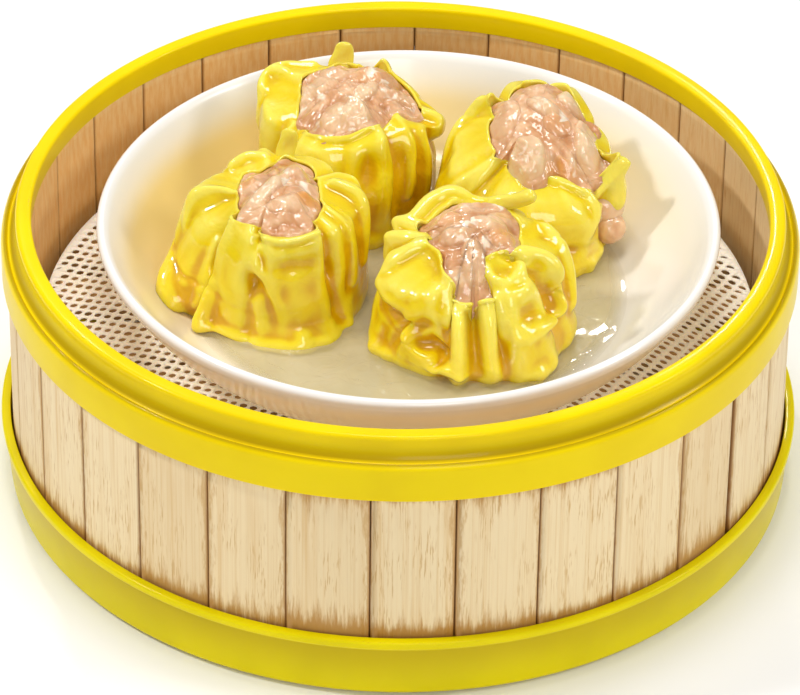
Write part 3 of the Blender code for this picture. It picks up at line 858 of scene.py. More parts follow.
def foldFields(d, theta, v):
    # outward, upward and sideways shift of the sheet at angle theta and height fraction v: the sum of
    # the folds, each within its height window, and of the dents
    out = np.zeros_like(theta)
    side = np.zeros_like(theta)
    up = np.zeros_like(theta)
    for kind, top, bottom, low, high, half, outward, curl in d["folds"]:
        middle = bottom + (top - bottom) * v
        shape = foldShape(kind, angleFrom(theta, middle) / half)
        window = smoothStep(low - 0.14, low + 0.14, v)
        if high < 0.99:
            window = window * (1.0 - smoothStep(high - 0.14, high + 0.14, v))
        out += outward * shape * window
        side += curl * shape * window
    for heading, level, halfTurn, halfUp, outward, upward in d["dents"]:
        a = angleFrom(theta, heading) / halfTurn
        b = (v - level) / halfUp
        shape = np.exp(-(a * a + b * b) ** 1.3)
        out += outward * shape
        up += upward * shape
    return out, up, side


def sheetPoint(d, theta, v):
    # wrapper surface: foot, low, middle, shoulder and rim rings joined upwards, then folds and dents
    mid, shoulderR, shoulderZ, rimR, rimZ = aroundCurves(d, theta[0]).T
    stops = np.array([0.0, 0.10, 0.42, 0.78, 1.0])
    radii = np.stack([mid * d["foot"], mid * d["low"], mid, shoulderR, rimR])
    rises = np.stack([0.0 * mid + 0.3, 0.0 * mid + 3.4, 0.52 * shoulderZ, shoulderZ, rimZ])
    n = theta.shape[1]
    both = easyCurve(v[:, 0], stops, np.concatenate([radii, rises], axis=1))
    radius, height = both[:, :n], both[:, n:]
    out, up, side = foldFields(d, theta, v)
    c, s = np.cos(theta), np.sin(theta)
    broad = softNoise(2.6 * c, 2.6 * s, 3.0 * v, d["seed"], 2) * 0.8
    fine = softNoise(9.0 * c, 9.0 * s, 3.5 * v, d["seed"] + 50, 2, 0.7) * 0.50
    live = smoothStep(0.0, 0.2, v) * (1.0 - 0.6 * smoothStep(0.8, 1.0, v))
    radius = np.maximum(radius + out + (broad + fine) * live, 2.0)
    height = height + up + softNoise(5.0 * c, 5.0 * s, 0.0 * v, d["seed"] + 9, 2, 0.5) * 0.35 * v
    angle = theta + np.radians(side)
    return np.stack([radius * np.cos(angle), radius * np.sin(angle), height], -1)


def pressedFlat(d, points):
    # a neighbour's side presses this one flat: the reach towards it levels off at the shared plane
    soft = 1.6
    for other in dumplings:
        if other is d:
            continue
        gap = np.array([other["x"] - d["x"], other["y"] - d["y"]])
        dist = np.hypot(*gap)
        n = gap / dist
        limit = dist * 0.5 - 0.12
        reach = points[..., 0] * n[0] + points[..., 1] * n[1]
        over = np.clip(reach - (limit - soft), 0.0, None)
        cut = (over - soft * (1.0 - np.exp(-over / soft))) * (reach > limit - soft)
        points[..., 0] -= cut * n[0]
        points[..., 1] -= cut * n[1]
    return points


def restedOnPlate(d, points):
    # nothing goes below the plate: height is at least the well's height under the point
    outline = plateOutline(plate)
    inside = outline[np.argmax(outline[:, 1]):][::-1]
    away = np.hypot(points[..., 0] + d["x"] - plate["x"], points[..., 1] + d["y"] - plate["y"])
    points[..., 2] = np.maximum(points[..., 2], np.interp(away, inside[:, 0], inside[:, 1]) + 0.12 - d["z"])
    return points


def placed(d, points):
    # from the dumpling's own middle to its place on the plate
    return points + np.array([d["x"], d["y"], d["z"]])


def pathThrough(marks, count):
    # smooth path through (x, y, z, radius) marks, spaced by their distance apart
    marks = np.array(marks, dtype=float)
    away = np.concatenate([[0.0], np.cumsum(np.linalg.norm(np.diff(marks[:, :3], axis=0), axis=1))])
    slopes = np.gradient(marks, away, axis=0)
    at = np.linspace(0.0, away[-1], count)
    i = np.clip(np.searchsorted(away, at) - 1, 0, len(away) - 2)
    h = (away[i + 1] - away[i])[:, None]
    return cubicBetween((at - away[i])[:, None] / h, h, marks[i], slopes[i], marks[i + 1], slopes[i + 1])


def gridNormals(points):
    # outward directions of a grid whose columns close into a turn
    alongTurn = np.roll(points, -1, axis=1) - np.roll(points, 1, axis=1)
    alongRise = np.gradient(points, axis=0)
    n = np.cross(alongTurn, alongRise)
    return n / np.maximum(np.linalg.norm(n, axis=2), 1e-9)[..., None]


def blurred(grid, times):
    # each point moves half way to the mean of its four neighbours, a few times over
    for _ in range(times):
        below = np.concatenate([grid[:1], grid[:-1]])
        above = np.concatenate([grid[1:], grid[-1:]])
        grid = 0.5 * grid + 0.125 * (np.roll(grid, 1, 1) + np.roll(grid, -1, 1) + below + above)
    return grid


def raiseRolls(points, rolls):
    # lift the sheet over rolled folds: each roll is a row of balls, and a point rises along the body's
    # own soft normal to the top of the ball it lies in; where no ball reaches, the sheet stays
    soft = 0.25
    normals = gridNormals(blurred(points, 40))
    best = np.full(points.shape[:2], -9.0)
    for marks in rolls:
        for ball in pathThrough(marks, 64):
            toBall = ball[:3] - points
            ahead = np.sum(toBall * normals, axis=2)
            aside = np.sum(toBall * toBall, axis=2) - ahead ** 2
            r = ball[3]
            inside = r * r - aside
            reach = r * 0.7 * np.tanh(ahead / (r * 0.7))
            top = np.where(inside > 0.0, reach + np.sqrt(np.maximum(inside, 0.0)), -9.0)
            best = np.maximum(best, np.where(np.abs(ahead) < r + 3.0, top, -9.0))
    best = blurred(np.maximum(best, -0.6)[..., None], 3)[..., 0]
    rise = soft * np.log1p(np.exp(np.clip(best / soft, -30.0, 40.0)))
    points = points + normals * (rise - soft * math.log1p(math.exp(-0.6 / soft)))[..., None]
    near = blurred(smoothStep(0.02, 0.3, rise)[..., None], 4)
    return points + near * (blurred(points, 2) - points)


def makeFinger(d, number, marks, thin):
    # a free fold end: flattened tube along a path with rounded ends; its thin side looks outwards
    path = pathThrough(marks, 40)
    ahead = np.gradient(path[:, :3], axis=0)
    ahead /= np.linalg.norm(ahead, axis=1)[:, None]
    outward = path[:, :3] * np.array([1.0, 1.0, 0.0])
    outward = outward - np.sum(outward * ahead, axis=1)[:, None] * ahead
    outward /= np.maximum(np.linalg.norm(outward, axis=1), 1e-6)[:, None]
    across = np.cross(outward, ahead)
    s = np.linspace(-1.0, 1.0, 40)
    cap = np.sqrt(np.clip(1.0 - np.abs(s) ** 7.0, 0.0004, 1.0))
    r = path[:, 3] * cap
    a = np.arange(32) * tau / 32
    wave = 1.0 + 0.06 * np.sin(3.0 * a[None, :] + 5.0 * s[:, None])
    rings = (path[:, None, :3] + across[:, None, :] * (r[:, None] * np.cos(a) * wave)[..., None]
             - outward[:, None, :] * (thin * r[:, None] * np.sin(a) * wave)[..., None])
    points, faces = closedShell(rings, path[0, :3], path[-1, :3])
    obj = meshPiece("dough_end_%s_%d" % (d["name"], number), placed(d, points), faces, doughYellow)
    # painted light: the whole end takes the pale lit tone of a ridge
    pointAttribute(obj, "foldShading", np.full(len(points), 0.85))
    return obj


def addSkirt(d, points, theta, v):
    # a thin frill that runs out on the plate below the body: a bell curve across, waves along
    for heading, half, length, rise in d["skirt"]:
        shape = foldShape("ridge", angleFrom(theta, heading) / half) * (1.0 - smoothStep(0.05, 0.20, v))
        wave = 1.0 + 0.22 * np.sin(13.0 * theta) + 0.15 * np.sin(29.0 * theta + 1.0)
        points[..., 0] += length * shape * wave * np.cos(theta)
        points[..., 1] += length * shape * wave * np.sin(theta)
        points[..., 2] += rise * shape * (0.6 + 0.5 * np.sin(19.0 * theta)) * smoothStep(0.0, 0.05, v)
    return points


def lipAndInside(d, outside, theta):
    # a half circle over the rim, one sheet's thickness wide, then a few millimetres straight down
    rim = outside[-1]
    along = rim - outside[-9]
    along /= np.linalg.norm(along, axis=1)[:, None]
    inward = -np.stack([np.cos(theta), np.sin(theta), 0.0 * theta], -1)
    flatness = np.clip(np.sum(along * inward, axis=1), 0.0, 1.0)[:, None]
    below = inward * (1.0 - flatness) + np.array([0.0, 0.0, -1.0]) * flatness
    below /= np.linalg.norm(below, axis=1)[:, None]
    turn = np.linspace(0.0, math.pi, 7)[1:, None, None]
    lip = rim + 0.5 * d["thick"] * (below * (1.0 - np.cos(turn)) + along * np.sin(turn))
    inside = lip[-1] - np.array([0.0, 0.0, 1.0]) * np.linspace(0.6, 6.0, 10)[:, None, None]
    return lip, inside


def doughShading(d, outside, theta, level):
    # painted light and shade: ridges pale and creases deep, by how far the sheet stands out of its own
    # smoothed shape; painted light towards the rim and on the lip, and painted shade on the sides set in the
    # amber rows
    proud = np.sum((outside - blurred(outside, 60)) * gridNormals(outside), axis=2)
    proud = np.concatenate([proud, np.repeat(proud[-1:], len(level) - len(proud), 0)])
    tone = 0.72 * smoothStep(-0.30, 0.28, proud) + 0.28 * smoothStep(0.25, 0.95, level)
    for heading, half, middle, halfUp, amount in d["amberShade"]:
        away = (angleFrom(theta, heading)[None, :] / half) ** 2 + ((level[:, :1] - middle) / halfUp) ** 2
        tone = tone - amount * np.exp(-away)
    tone = np.clip(tone, 0.0, 1.0)
    lipRows = slice(len(outside) - 1, len(outside) + 3)
    tone[lipRows] = np.maximum(tone[lipRows], 0.78)
    return tone


def fillingEdge(d, outside, lip, theta):
    # the filling starts at the inner edge, or further out where it has spilled over the rim
    edge = lip[-1].copy()
    gone = np.linalg.norm(outside - outside[-1], axis=2)
    for heading, half, reach in d["spills"]:
        w = foldShape("ridge", angleFrom(theta, heading) / half)
        row = len(outside) - 1 - np.argmin(gone[::-1] < reach * w, axis=0)
        w = (w * smoothStep(0.05, 0.3, w))[:, None]
        edge = edge * (1.0 - w) + w * outside[row, np.arange(len(theta))]
    return edge


def makeWrapper(d):
    # the sheet, its skirt and rolled folds, smoothed, pressed and rested, then closed over the rim
    cols = 360
    theta = np.arange(cols) * tau / cols
    v = np.concatenate([np.linspace(0.0, 0.9, 90), np.linspace(0.9, 1.0, 16)[1:]])
    tt, vv = np.meshgrid(theta, v)
    outside = raiseRolls(addSkirt(d, sheetPoint(d, tt, vv), tt, vv), d["rolls"])
    outside[1:-1] = blurred(outside, 11)[1:-1]
    outside = restedOnPlate(d, pressedFlat(d, outside))
    lip, inside = lipAndInside(d, outside, theta)
    rings = np.concatenate([outside, lip, inside])
    points, faces = closedShell(rings, rings[0].mean(axis=0), rings[-1].mean(axis=0))
    obj = meshPiece("wrapper_dough_" + d["name"], placed(d, points), faces, doughYellow)
    level = np.concatenate([vv, np.ones((len(lip) + len(inside), cols))])
    tone = doughShading(d, outside, theta, level)
    pointAttribute(obj, "foldShading", np.concatenate([tone.ravel(), [0.0, 0.0]]))
    return finishPiece(obj, "wrapper", "wrapper_" + d["name"]), fillingEdge(d, outside, lip, theta)


def lumpField(d, x, y):
    # height, cream tone and orange tone of the lumps on the filling: each a low dome on a turned
    # ellipse, the highest one winning, plus the curled strips
    height = np.zeros_like(x)
    cream = np.zeros_like(x)
    orange = np.zeros_like(x)
    for cx, cy, along, across, heading, rise, tone in d["lumps"]:
        c, s = math.cos(math.radians(heading)), math.sin(math.radians(heading))
        a = ((x - cx) * c + (y - cy) * s) / along
        b = (-(x - cx) * s + (y - cy) * c) / across
        q = np.clip(1.0 - (a * a + b * b), 0.0, 1.0)
        height = np.maximum(height, rise * q ** 0.6)
        cream += max(tone, 0.0) * q ** 0.5
        orange += max(-tone, 0.0) * q ** 0.5
    for cx, cy, radius, half, fromDeg, overDeg, rise in d["curls"]:
        # a curled strip: bell curve across an arc that starts and ends softly
        away = np.hypot(x - cx, y - cy)
        turn = (np.degrees(np.arctan2(y - cy, x - cx)) - fromDeg) % 360.0
        arc = smoothStep(0.0, 30.0, turn) * (1.0 - smoothStep(overDeg - 30.0, overDeg, turn))
        shape = np.exp(-(((away - radius - turn * 0.003) / half) ** 2)) * arc
        height = height + rise * shape
        cream = cream + 0.5 * shape
    return height, np.clip(cream, 0.0, 1.0), np.clip(orange, 0.0, 1.0)


def lowWaves(values, keep):
    # a closed ring of values with only its first few waves kept
    spectrum = np.fft.rfft(values)
    spectrum[keep + 1:] = 0.0
    return np.fft.irfft(spectrum, len(values))


def makeFilling(d, edge):
    # dome from the inner edge of the wrapper to a crown point; lumps and coarse meat on top
    cols, rows = len(edge), 90
    rr = np.linspace(0.0, 1.0, rows)[:, None]
    reach = np.hypot(edge[:, 0], edge[:, 1])
    softReach = np.minimum(lowWaves(reach, 14), reach)
    edge = np.stack([edge[:, 0] * softReach / reach, edge[:, 1] * softReach / reach,
                     np.minimum(lowWaves(edge[:, 2], 5), edge[:, 2] + 2.2) - 0.5], -1)
    cx, cy = d["crown"][:2]
    shrink = 0.995 * (1.0 - 0.99 * rr)
    x = cx + (edge[:, 0] - cx) * shrink
    y = cy + (edge[:, 1] - cy) * shrink
    # inside the edge the dome is a smooth quadratic of x and y fitted to the edge and the crown
    fitX = np.concatenate([edge[:, 0], np.full(cols, cx)])
    fitY = np.concatenate([edge[:, 1], np.full(cols, cy)])
    fitZ = np.concatenate([edge[:, 2], np.full(cols, d["crown"][2])])
    terms = np.stack([1.0 + 0.0 * fitX, fitX, fitY, fitX * fitX, fitX * fitY, fitY * fitY], -1)
    fit = np.linalg.lstsq(terms, fitZ, rcond=None)[0]
    dome = fit[0] + fit[1] * x + fit[2] * y + fit[3] * x * x + fit[4] * x * y + fit[5] * y * y
    base = edge[:, 2] + (dome - edge[:, 2]) * smoothStep(0.0, 0.40, rr)
    lump, cream, orange = lumpField(d, x, y)
    rough = softNoise(x * 0.36, y * 0.36, 0.0 * x, d["seed"] + 3, 3, 0.55)
    cords = np.abs(softNoise(x * 0.24, y * 0.24, 0.0 * x, d["seed"] + 4, 2, 0.5))
    bumps = (lump + 0.75 * rough + 1.5 * cords) * smoothStep(0.0, 0.10, rr)
    top = np.stack([x, y, base + bumps + smoothStep(0.0, 0.06, rr)], -1)
    hems = [top[0] * np.array([k, k, 1.0]) - np.array([0.0, 0.0, h]) for k, h in ((0.97, 4.0), (0.99, 2.0))]
    rings = np.concatenate([np.stack(hems), top])
    points, faces = closedShell(rings, rings[0].mean(axis=0), rings[-1].mean(axis=0))
    obj = meshPiece("filling_mince_" + d["name"], placed(d, points), faces, fillingMince)
    pad = np.zeros(2 * cols)
    # painted shade in the creases and dips between the lumps
    hollowShade = 0.55 * (1.0 - smoothStep(0.0, 0.16, cords)) + 0.6 * (1.0 - smoothStep(-0.55, 0.0, rough))
    hollowShade = np.clip(hollowShade * (1.0 - smoothStep(0.0, 1.0, lump)), 0.0, 1.0)
    pointAttribute(obj, "minceHollowShade", np.concatenate([pad, hollowShade.ravel(), [0.0, 0.0]]))
    pointAttribute(obj, "minceTone", np.concatenate([pad, cream.ravel(), [0.0, 0.0]]))
    pointAttribute(obj, "minceOrange", np.concatenate([pad, orange.ravel(), [0.0, 0.0]]))
    return finishPiece(obj, "filling", "filling_" + d["name"])


def makeBlob(d, number, row):
    # a lump of filling squeezed out at the side: an ellipsoid, its radius times one plus soft noise
    cx, cy, cz, rx, ry, rz = row
    a = np.arange(72) * tau / 72
    b = np.linspace(-0.49 * math.pi, 0.49 * math.pi, 40)
    bb, aa = np.meshgrid(b, a, indexing="ij")
    unit = np.stack([np.cos(bb) * np.cos(aa), np.cos(bb) * np.sin(aa), np.sin(bb)], -1)
    bumps = 0.10 * softNoise(*np.moveaxis(2.0 * unit, -1, 0), d["seed"] + number, 3)
    rings = np.array([cx, cy, cz]) + unit * np.array([rx, ry, rz]) * (1.0 + bumps)[..., None]
    points, faces = closedShell(rings, rings[0].mean(axis=0), rings[-1].mean(axis=0))
    obj = meshPiece("filling_blob_%s_%d" % (d["name"], number), placed(d, points), faces, fillingMince)
    # painted shade in the blob's dips
    pointAttribute(obj, "minceHollowShade", np.concatenate([smoothStep(0.02, -0.10, bumps).ravel(), [0.0, 0.0]]))
    pointAttribute(obj, "minceTone", np.full(len(points), 0.35))
    pointAttribute(obj, "minceOrange", np.zeros(len(points)))
    return finishPiece(obj, "filling")


# lengths in millimetres, headings and half widths in degrees, heights of folds as a share of the sheet's
# outline rows: heading, middle radius, shoulder radius and height, rim radius and height
# fold rows: kind, heading at the rim, heading at the foot, from and to height, half width, outward, sideways
# dent rows: heading, height fraction, half width, half height, outward, upward
# skirt rows: heading, half width, length, rise; spill rows: heading, half width, reach over the rim
# roll and finger rows: x, y, z and radius along the roll; a finger starts with its flatness
# amber rows, painted shade on the sides away from the light: heading, half width, height, half height,
# amount; blob rows: x, y, z and three radii
# lump rows: x, y, half length, half width, heading, rise, cream (or orange below zero)
# curl rows: x, y, radius, half width, first heading, turn, rise
frontLeft = dict(
    name="front_left", x=-28.4, y=4.0, z=41.3, seed=11, thick=1.1, foot=1.0, low=1.03,
    crown=(0.0, -1.0, 29.0),
    outline=[(3, 21, 20.3, 25, 10.4, 27.5), (19, 21, 18.4, 28.3, 10.5, 28.2),
             (30, 21, 16.4, 28.3, 11.5, 28.4), (38, 21, 16.0, 26.0, 12.1, 27.2),
             (47, 21, 16.8, 26.5, 13, 27.5), (60, 21, 17, 27, 13.7, 28), (73, 21, 16.8, 27.3, 13.9, 28.3),
             (82, 21, 16.8, 27.6, 14.5, 28.6), (90, 21, 16.8, 27.5, 12.5, 28),
             (100, 21, 17, 28.8, 10.5, 28.8), (115, 21, 16, 27.5, 9.6, 28),
             (131, 21, 15.6, 27, 11.2, 27.5), (152, 21.5, 16, 26.5, 9.7, 27),
             (171, 22, 17.4, 27.2, 8.7, 27.5), (186, 23.5, 19, 21, 8.6, 27),
             (200, 23.5, 17.5, 20, 9.5, 26.5), (212, 21, 14.5, 20, 10.5, 26.5),
             (219, 17.5, 12.8, 21, 11.5, 26.5), (226, 20, 16.4, 25.4, 14.6, 27.5),
             (250, 21, 16.4, 25.6, 13.8, 27.3), (256, 20, 15, 24, 13.2, 26),
             (262, 21.3, 17.6, 24.5, 15.6, 26.6), (286, 21.5, 18.5, 24.8, 16.4, 26.8),
             (305, 21.5, 19.2, 25.5, 17.2, 27.6), (312, 19.5, 16, 24, 13.8, 26.5),
             (322, 21, 17.5, 25, 13, 27.5), (336, 21, 17.5, 24.5, 12, 27.5),
             (348, 20.8, 18.5, 24, 10.8, 27.5)],
    folds=[("groove", 220, 226, 0.25, 0.95, 6, -2.6, 0), ("ridge", 232, 222, 0.0, 0.42, 6, 2.4, 0),
           ("groove", 256, 274, 0.25, 1.0, 3.5, -1.6, 1), ("ridge", 251, 262, 0.3, 0.95, 4, 0.8, 0),
           ("groove", 310, 306, 0.35, 1.0, 3.5, -1.6, 0), ("ridge", 318, 314, 0.3, 0.95, 4, 0.9, 0),
           ("groove", 334, 318, 0.3, 0.95, 4, -1.5, 0), ("ridge", 342, 328, 0.3, 0.95, 4, 1.0, 0),
           ("groove", 8, 344, 0.3, 0.9, 4, -1.2, 0), ("groove", 36, 20, 0.35, 1.0, 5, -1.6, 0),
           ("groove", 92, 96, 0.4, 0.95, 5, -1.4, 0), ("groove", 140, 148, 0.35, 0.95, 6, -1.4, 0),
           ("ridge", 172, 186, 0.35, 0.95, 5, 1.2, 0)],
    dents=[(258, 0.50, 6, 0.07, -2.8, 0), (258, 0.62, 9, 0.06, 1.0, 0), (311, 0.52, 4, 0.07, -1.6, 0),
           (205, 0.55, 12, 0.16, -1.6, 0), (195, 0.16, 14, 0.09, 2.4, 0), (285, 0.63, 16, 0.06, -0.9, 0),
           (285, 0.35, 20, 0.10, 0.6, 0)],
    skirt=[(296, 30, 2.2, 0.9), (222, 9, 2.6, 0.8)],
    rolls=[[(-13.5, -11.0, 22, 1.0), (-15.2, -12.4, 14, 1.6), (-16.0, -14.6, 8, 1.8),
            (-17.4, -17.0, 2.5, 2.3)],
           [(-19, -17.5, 1.3, 1.6), (-12, -19.8, 2.4, 1.3), (-5, -22, 1.4, 1.4), (1, -23.6, 1.4, 1.5),
            (8, -23.2, 1.4, 1.5), (14, -20.8, 1.6, 1.4), (19, -15, 1.5, 1.2)],
           [(11, -5.3, 27.6, 1.0), (16.0, -8.5, 24, 1.5), (18.2, -10.5, 18, 1.4), (18.6, -12, 11, 1.0)],
           [(13.0, 3.5, 28.4, 1.2), (18.4, 1.5, 26.4, 1.8), (20.4, -3, 20, 1.6), (20.2, -6, 13, 1.2)],
           [(-3.4, -15.2, 26.4, 0.8), (0.4, -17.2, 26.0, 1.0), (5, -17.0, 26.3, 1.0),
            (10.4, -15.0, 27.2, 0.8)],
           [(-3.2, -16.4, 25, 0.9), (-4.2, -18.4, 21, 1.2), (-1.5, -20.0, 16.5, 1.3),
            (1.5, -21.0, 11, 1.2)],
           [(-11.0, -9.8, 26.6, 0.8), (-12.2, -12.6, 21, 1.1), (-11.5, -15.6, 14, 1.0),
            (-9.5, -18.0, 9, 0.8)],
           [(-22.5, -2.0, 11, 2.2), (-24.2, -7.0, 6.5, 3.0), (-22.8, -10.5, 3.5, 2.6)],
           [(-8.6, -0.5, 27.3, 0.9), (-13.0, 1.5, 27.3, 1.0), (-17.2, 1.8, 26.2, 1.2),
            (-20.5, -1.0, 19, 1.2)],
           [(-2.8, 13.5, 28.5, 1.1), (-6.5, 13.8, 28.2, 1.4), (-10.5, 10.8, 28.0, 1.1)]],
    fingers=[(0.42,
              [(1.6, 14.6, 25.5, 2.4), (2.2, 15.8, 29.5, 2.1), (2.8, 16.2, 32.6, 2.0),
               (2.9, 16.2, 34.2, 1.7)])],
    spills=[(285, 20, 0.8), (240, 9, 0.6)],
    blobs=[],
    amberShade=[(345, 38, 0.50, 0.35, 0.40), (285, 22, 0.45, 0.25, 0.15), (215, 20, 0.45, 0.3, 0.2)],
    curls=[],
    lumps=[(-1.2, -1.6, 7.6, 2.2, 52, 1.4, 0.9), (7.5, -5.0, 3.0, 2.6, 0, 0.9, -0.9),
           (-7.0, 2.5, 2.6, 2.2, 0, 0.7, -0.7), (3.0, -7.5, 5.0, 3.0, 10, 1.2, 0.3),
           (5.0, 5.0, 4.0, 3.0, 30, 1.0, 0.2), (-5.0, -6.0, 3.4, 2.6, 0, 0.9, 0.3)])

backLeft = dict(
    name="back_left", x=-12.4, y=40.4, z=41.6, seed=23, thick=1.1, foot=0.96, low=1.0,
    crown=(0.0, 0.0, 29.5),
    outline=[(0, 20.5, 24.2, 21.5, 17, 23.8), (12, 20.5, 20, 24, 17, 25.5),
             (30, 20.5, 17.8, 26, 16.5, 27), (45, 20.5, 17, 27.5, 15.5, 28.5),
             (59, 20.5, 17, 30, 15.5, 31.3), (72, 20.5, 16.5, 27, 15, 28), (82, 20.5, 16.5, 28, 15, 29),
             (95, 20.5, 16.5, 28.5, 15.0, 29.5), (106, 20.5, 17, 28, 14.5, 29.5),
             (121, 20.5, 17, 28.5, 13.0, 30), (146, 21, 21.5, 29.0, 13.4, 30.4),
             (156, 21.5, 22, 27.6, 12.6, 29), (172, 21.5, 20.5, 26, 12.0, 27.4),
             (190, 21, 18.5, 25, 12.2, 26.2), (200, 19.5, 16, 24, 12.5, 25), (215, 19, 15, 24, 12.5, 25),
             (226, 21, 17, 25, 14.5, 26), (245, 21.5, 17.5, 25.5, 14.5, 26.5),
             (262, 21.5, 17, 25.5, 14, 26.5), (285, 21.5, 16.5, 27, 13.5, 28),
             (300, 21, 16.5, 28, 13.2, 29), (312, 18.5, 14, 25, 11.5, 26),
             (328, 20.5, 15.5, 26, 11.5, 27), (342, 21, 17.5, 25, 12, 26.5),
             (351, 20, 20.5, 23.0, 14, 24.5)],
    folds=[("groove", 203, 206, 0.3, 0.95, 5, -2.0, 0), ("groove", 223, 222, 0.3, 1.0, 4, -1.5, 0),
           ("groove", 310, 300, 0.2, 0.95, 4.5, -2.2, 0), ("ridge", 299, 290, 0.3, 0.95, 5, 1.3, 0),
           ("groove", 336, 322, 0.3, 0.95, 4, -1.8, 0), ("ridge", 343, 330, 0.3, 0.9, 4, 1.2, 0),
           ("groove", 352, 342, 0.3, 0.8, 4, -2.0, 0), ("groove", 20, 18, 0.3, 0.9, 5, -1.4, 0),
           ("groove", 50, 50, 0.4, 0.95, 5, -1.2, 0), ("groove", 84, 84, 0.4, 0.95, 5, -1.4, 0),
           ("groove", 110, 110, 0.4, 0.95, 5, -1.4, 0), ("groove", 132, 136, 0.4, 0.95, 5, -1.0, 0),
           ("groove", 166, 168, 0.3, 0.95, 5, -1.6, 0), ("groove", 270, 262, 0.3, 0.7, 6, -0.9, 0)],
    dents=[(0, 0.60, 12, 0.08, -3.4, 0), (215, 0.55, 8, 0.2, -1.0, 0), (285, 0.60, 10, 0.08, -0.8, 0),
           (325, 0.55, 8, 0.06, -1.2, 0)],
    skirt=[(290, 30, 1.0, 0.4)],
    rolls=[[(-9.6, -9.8, 25.6, 1.0), (-5.0, -13.2, 26.2, 1.3), (0.5, -13.6, 27.0, 1.3),
            (6.0, -11.6, 28.6, 1.3), (8.6, -12.6, 26.5, 1.2)],
           [(8.6, -12.6, 26.0, 1.4), (9.6, -15.5, 20, 1.6), (8.4, -18.4, 13, 1.4), (7.0, -19.6, 7, 1.0)],
           [(10.6, -3.5, 27.0, 1.1), (13.6, -7.5, 24.5, 1.6), (14.6, -11.5, 18, 1.5),
            (14.4, -14, 11, 1.1)],
           [(14.5, 2.0, 25.4, 1.2), (19.5, 0.8, 24.0, 1.6), (23.0, -0.4, 22.4, 1.4)],
           [(16.0, -4.5, 23.0, 1.3), (18.6, -6.5, 17, 1.4), (18.4, -8.5, 10, 1.1)],
           [(-12.6, -5.0, 25.2, 1.0), (-14.5, -8.4, 24.0, 1.3), (-15.2, -12.0, 17, 1.4),
            (-14.0, -15.0, 9, 1.1)],
           [(-15.0, 10.4, 30.2, 1.0), (-19.8, 10.8, 29.4, 1.2), (-20.4, 7.0, 27.6, 1.3),
            (-20.6, 3.0, 20, 1.4)],
           [(-8.0, 13.6, 30.0, 0.9), (-13.5, 13.4, 30.2, 1.0), (-18.0, 12.4, 30.0, 1.0)]],
    fingers=[(0.42,
              [(-1.9, 14.2, 26.0, 3.3), (-1.9, 15.4, 29.0, 2.9), (-1.3, 15.9, 32.4, 2.2),
               (-0.9, 15.9, 34.3, 1.8)])],
    spills=[(245, 22, 2.6), (352, 14, 1.6), (205, 14, 2.0)],
    blobs=[],
    amberShade=[(340, 40, 0.45, 0.40, 0.45), (290, 28, 0.40, 0.35, 0.25)],
    curls=[(1.0, -7.4, 2.7, 0.95, 200.0, 290.0, 1.5)],
    lumps=[(1.0, -7.2, 3.0, 3.0, 0, 1.6, 0.6), (13.0, 3.0, 3.4, 2.2, 10, 1.6, 0.1),
           (-8.0, 3.0, 6.0, 3.2, 10, 1.2, 0.5), (-3.0, -8.0, 3.6, 4.4, 0, 1.2, 0.4),
           (6.0, 7.0, 6.0, 3.0, 12, 1.6, -0.3), (4.0, 1.0, 4.4, 2.2, 60, 1.2, 0.8),
           (-2.0, 8.0, 5.0, 3.0, 0, 1.0, 0.2)])

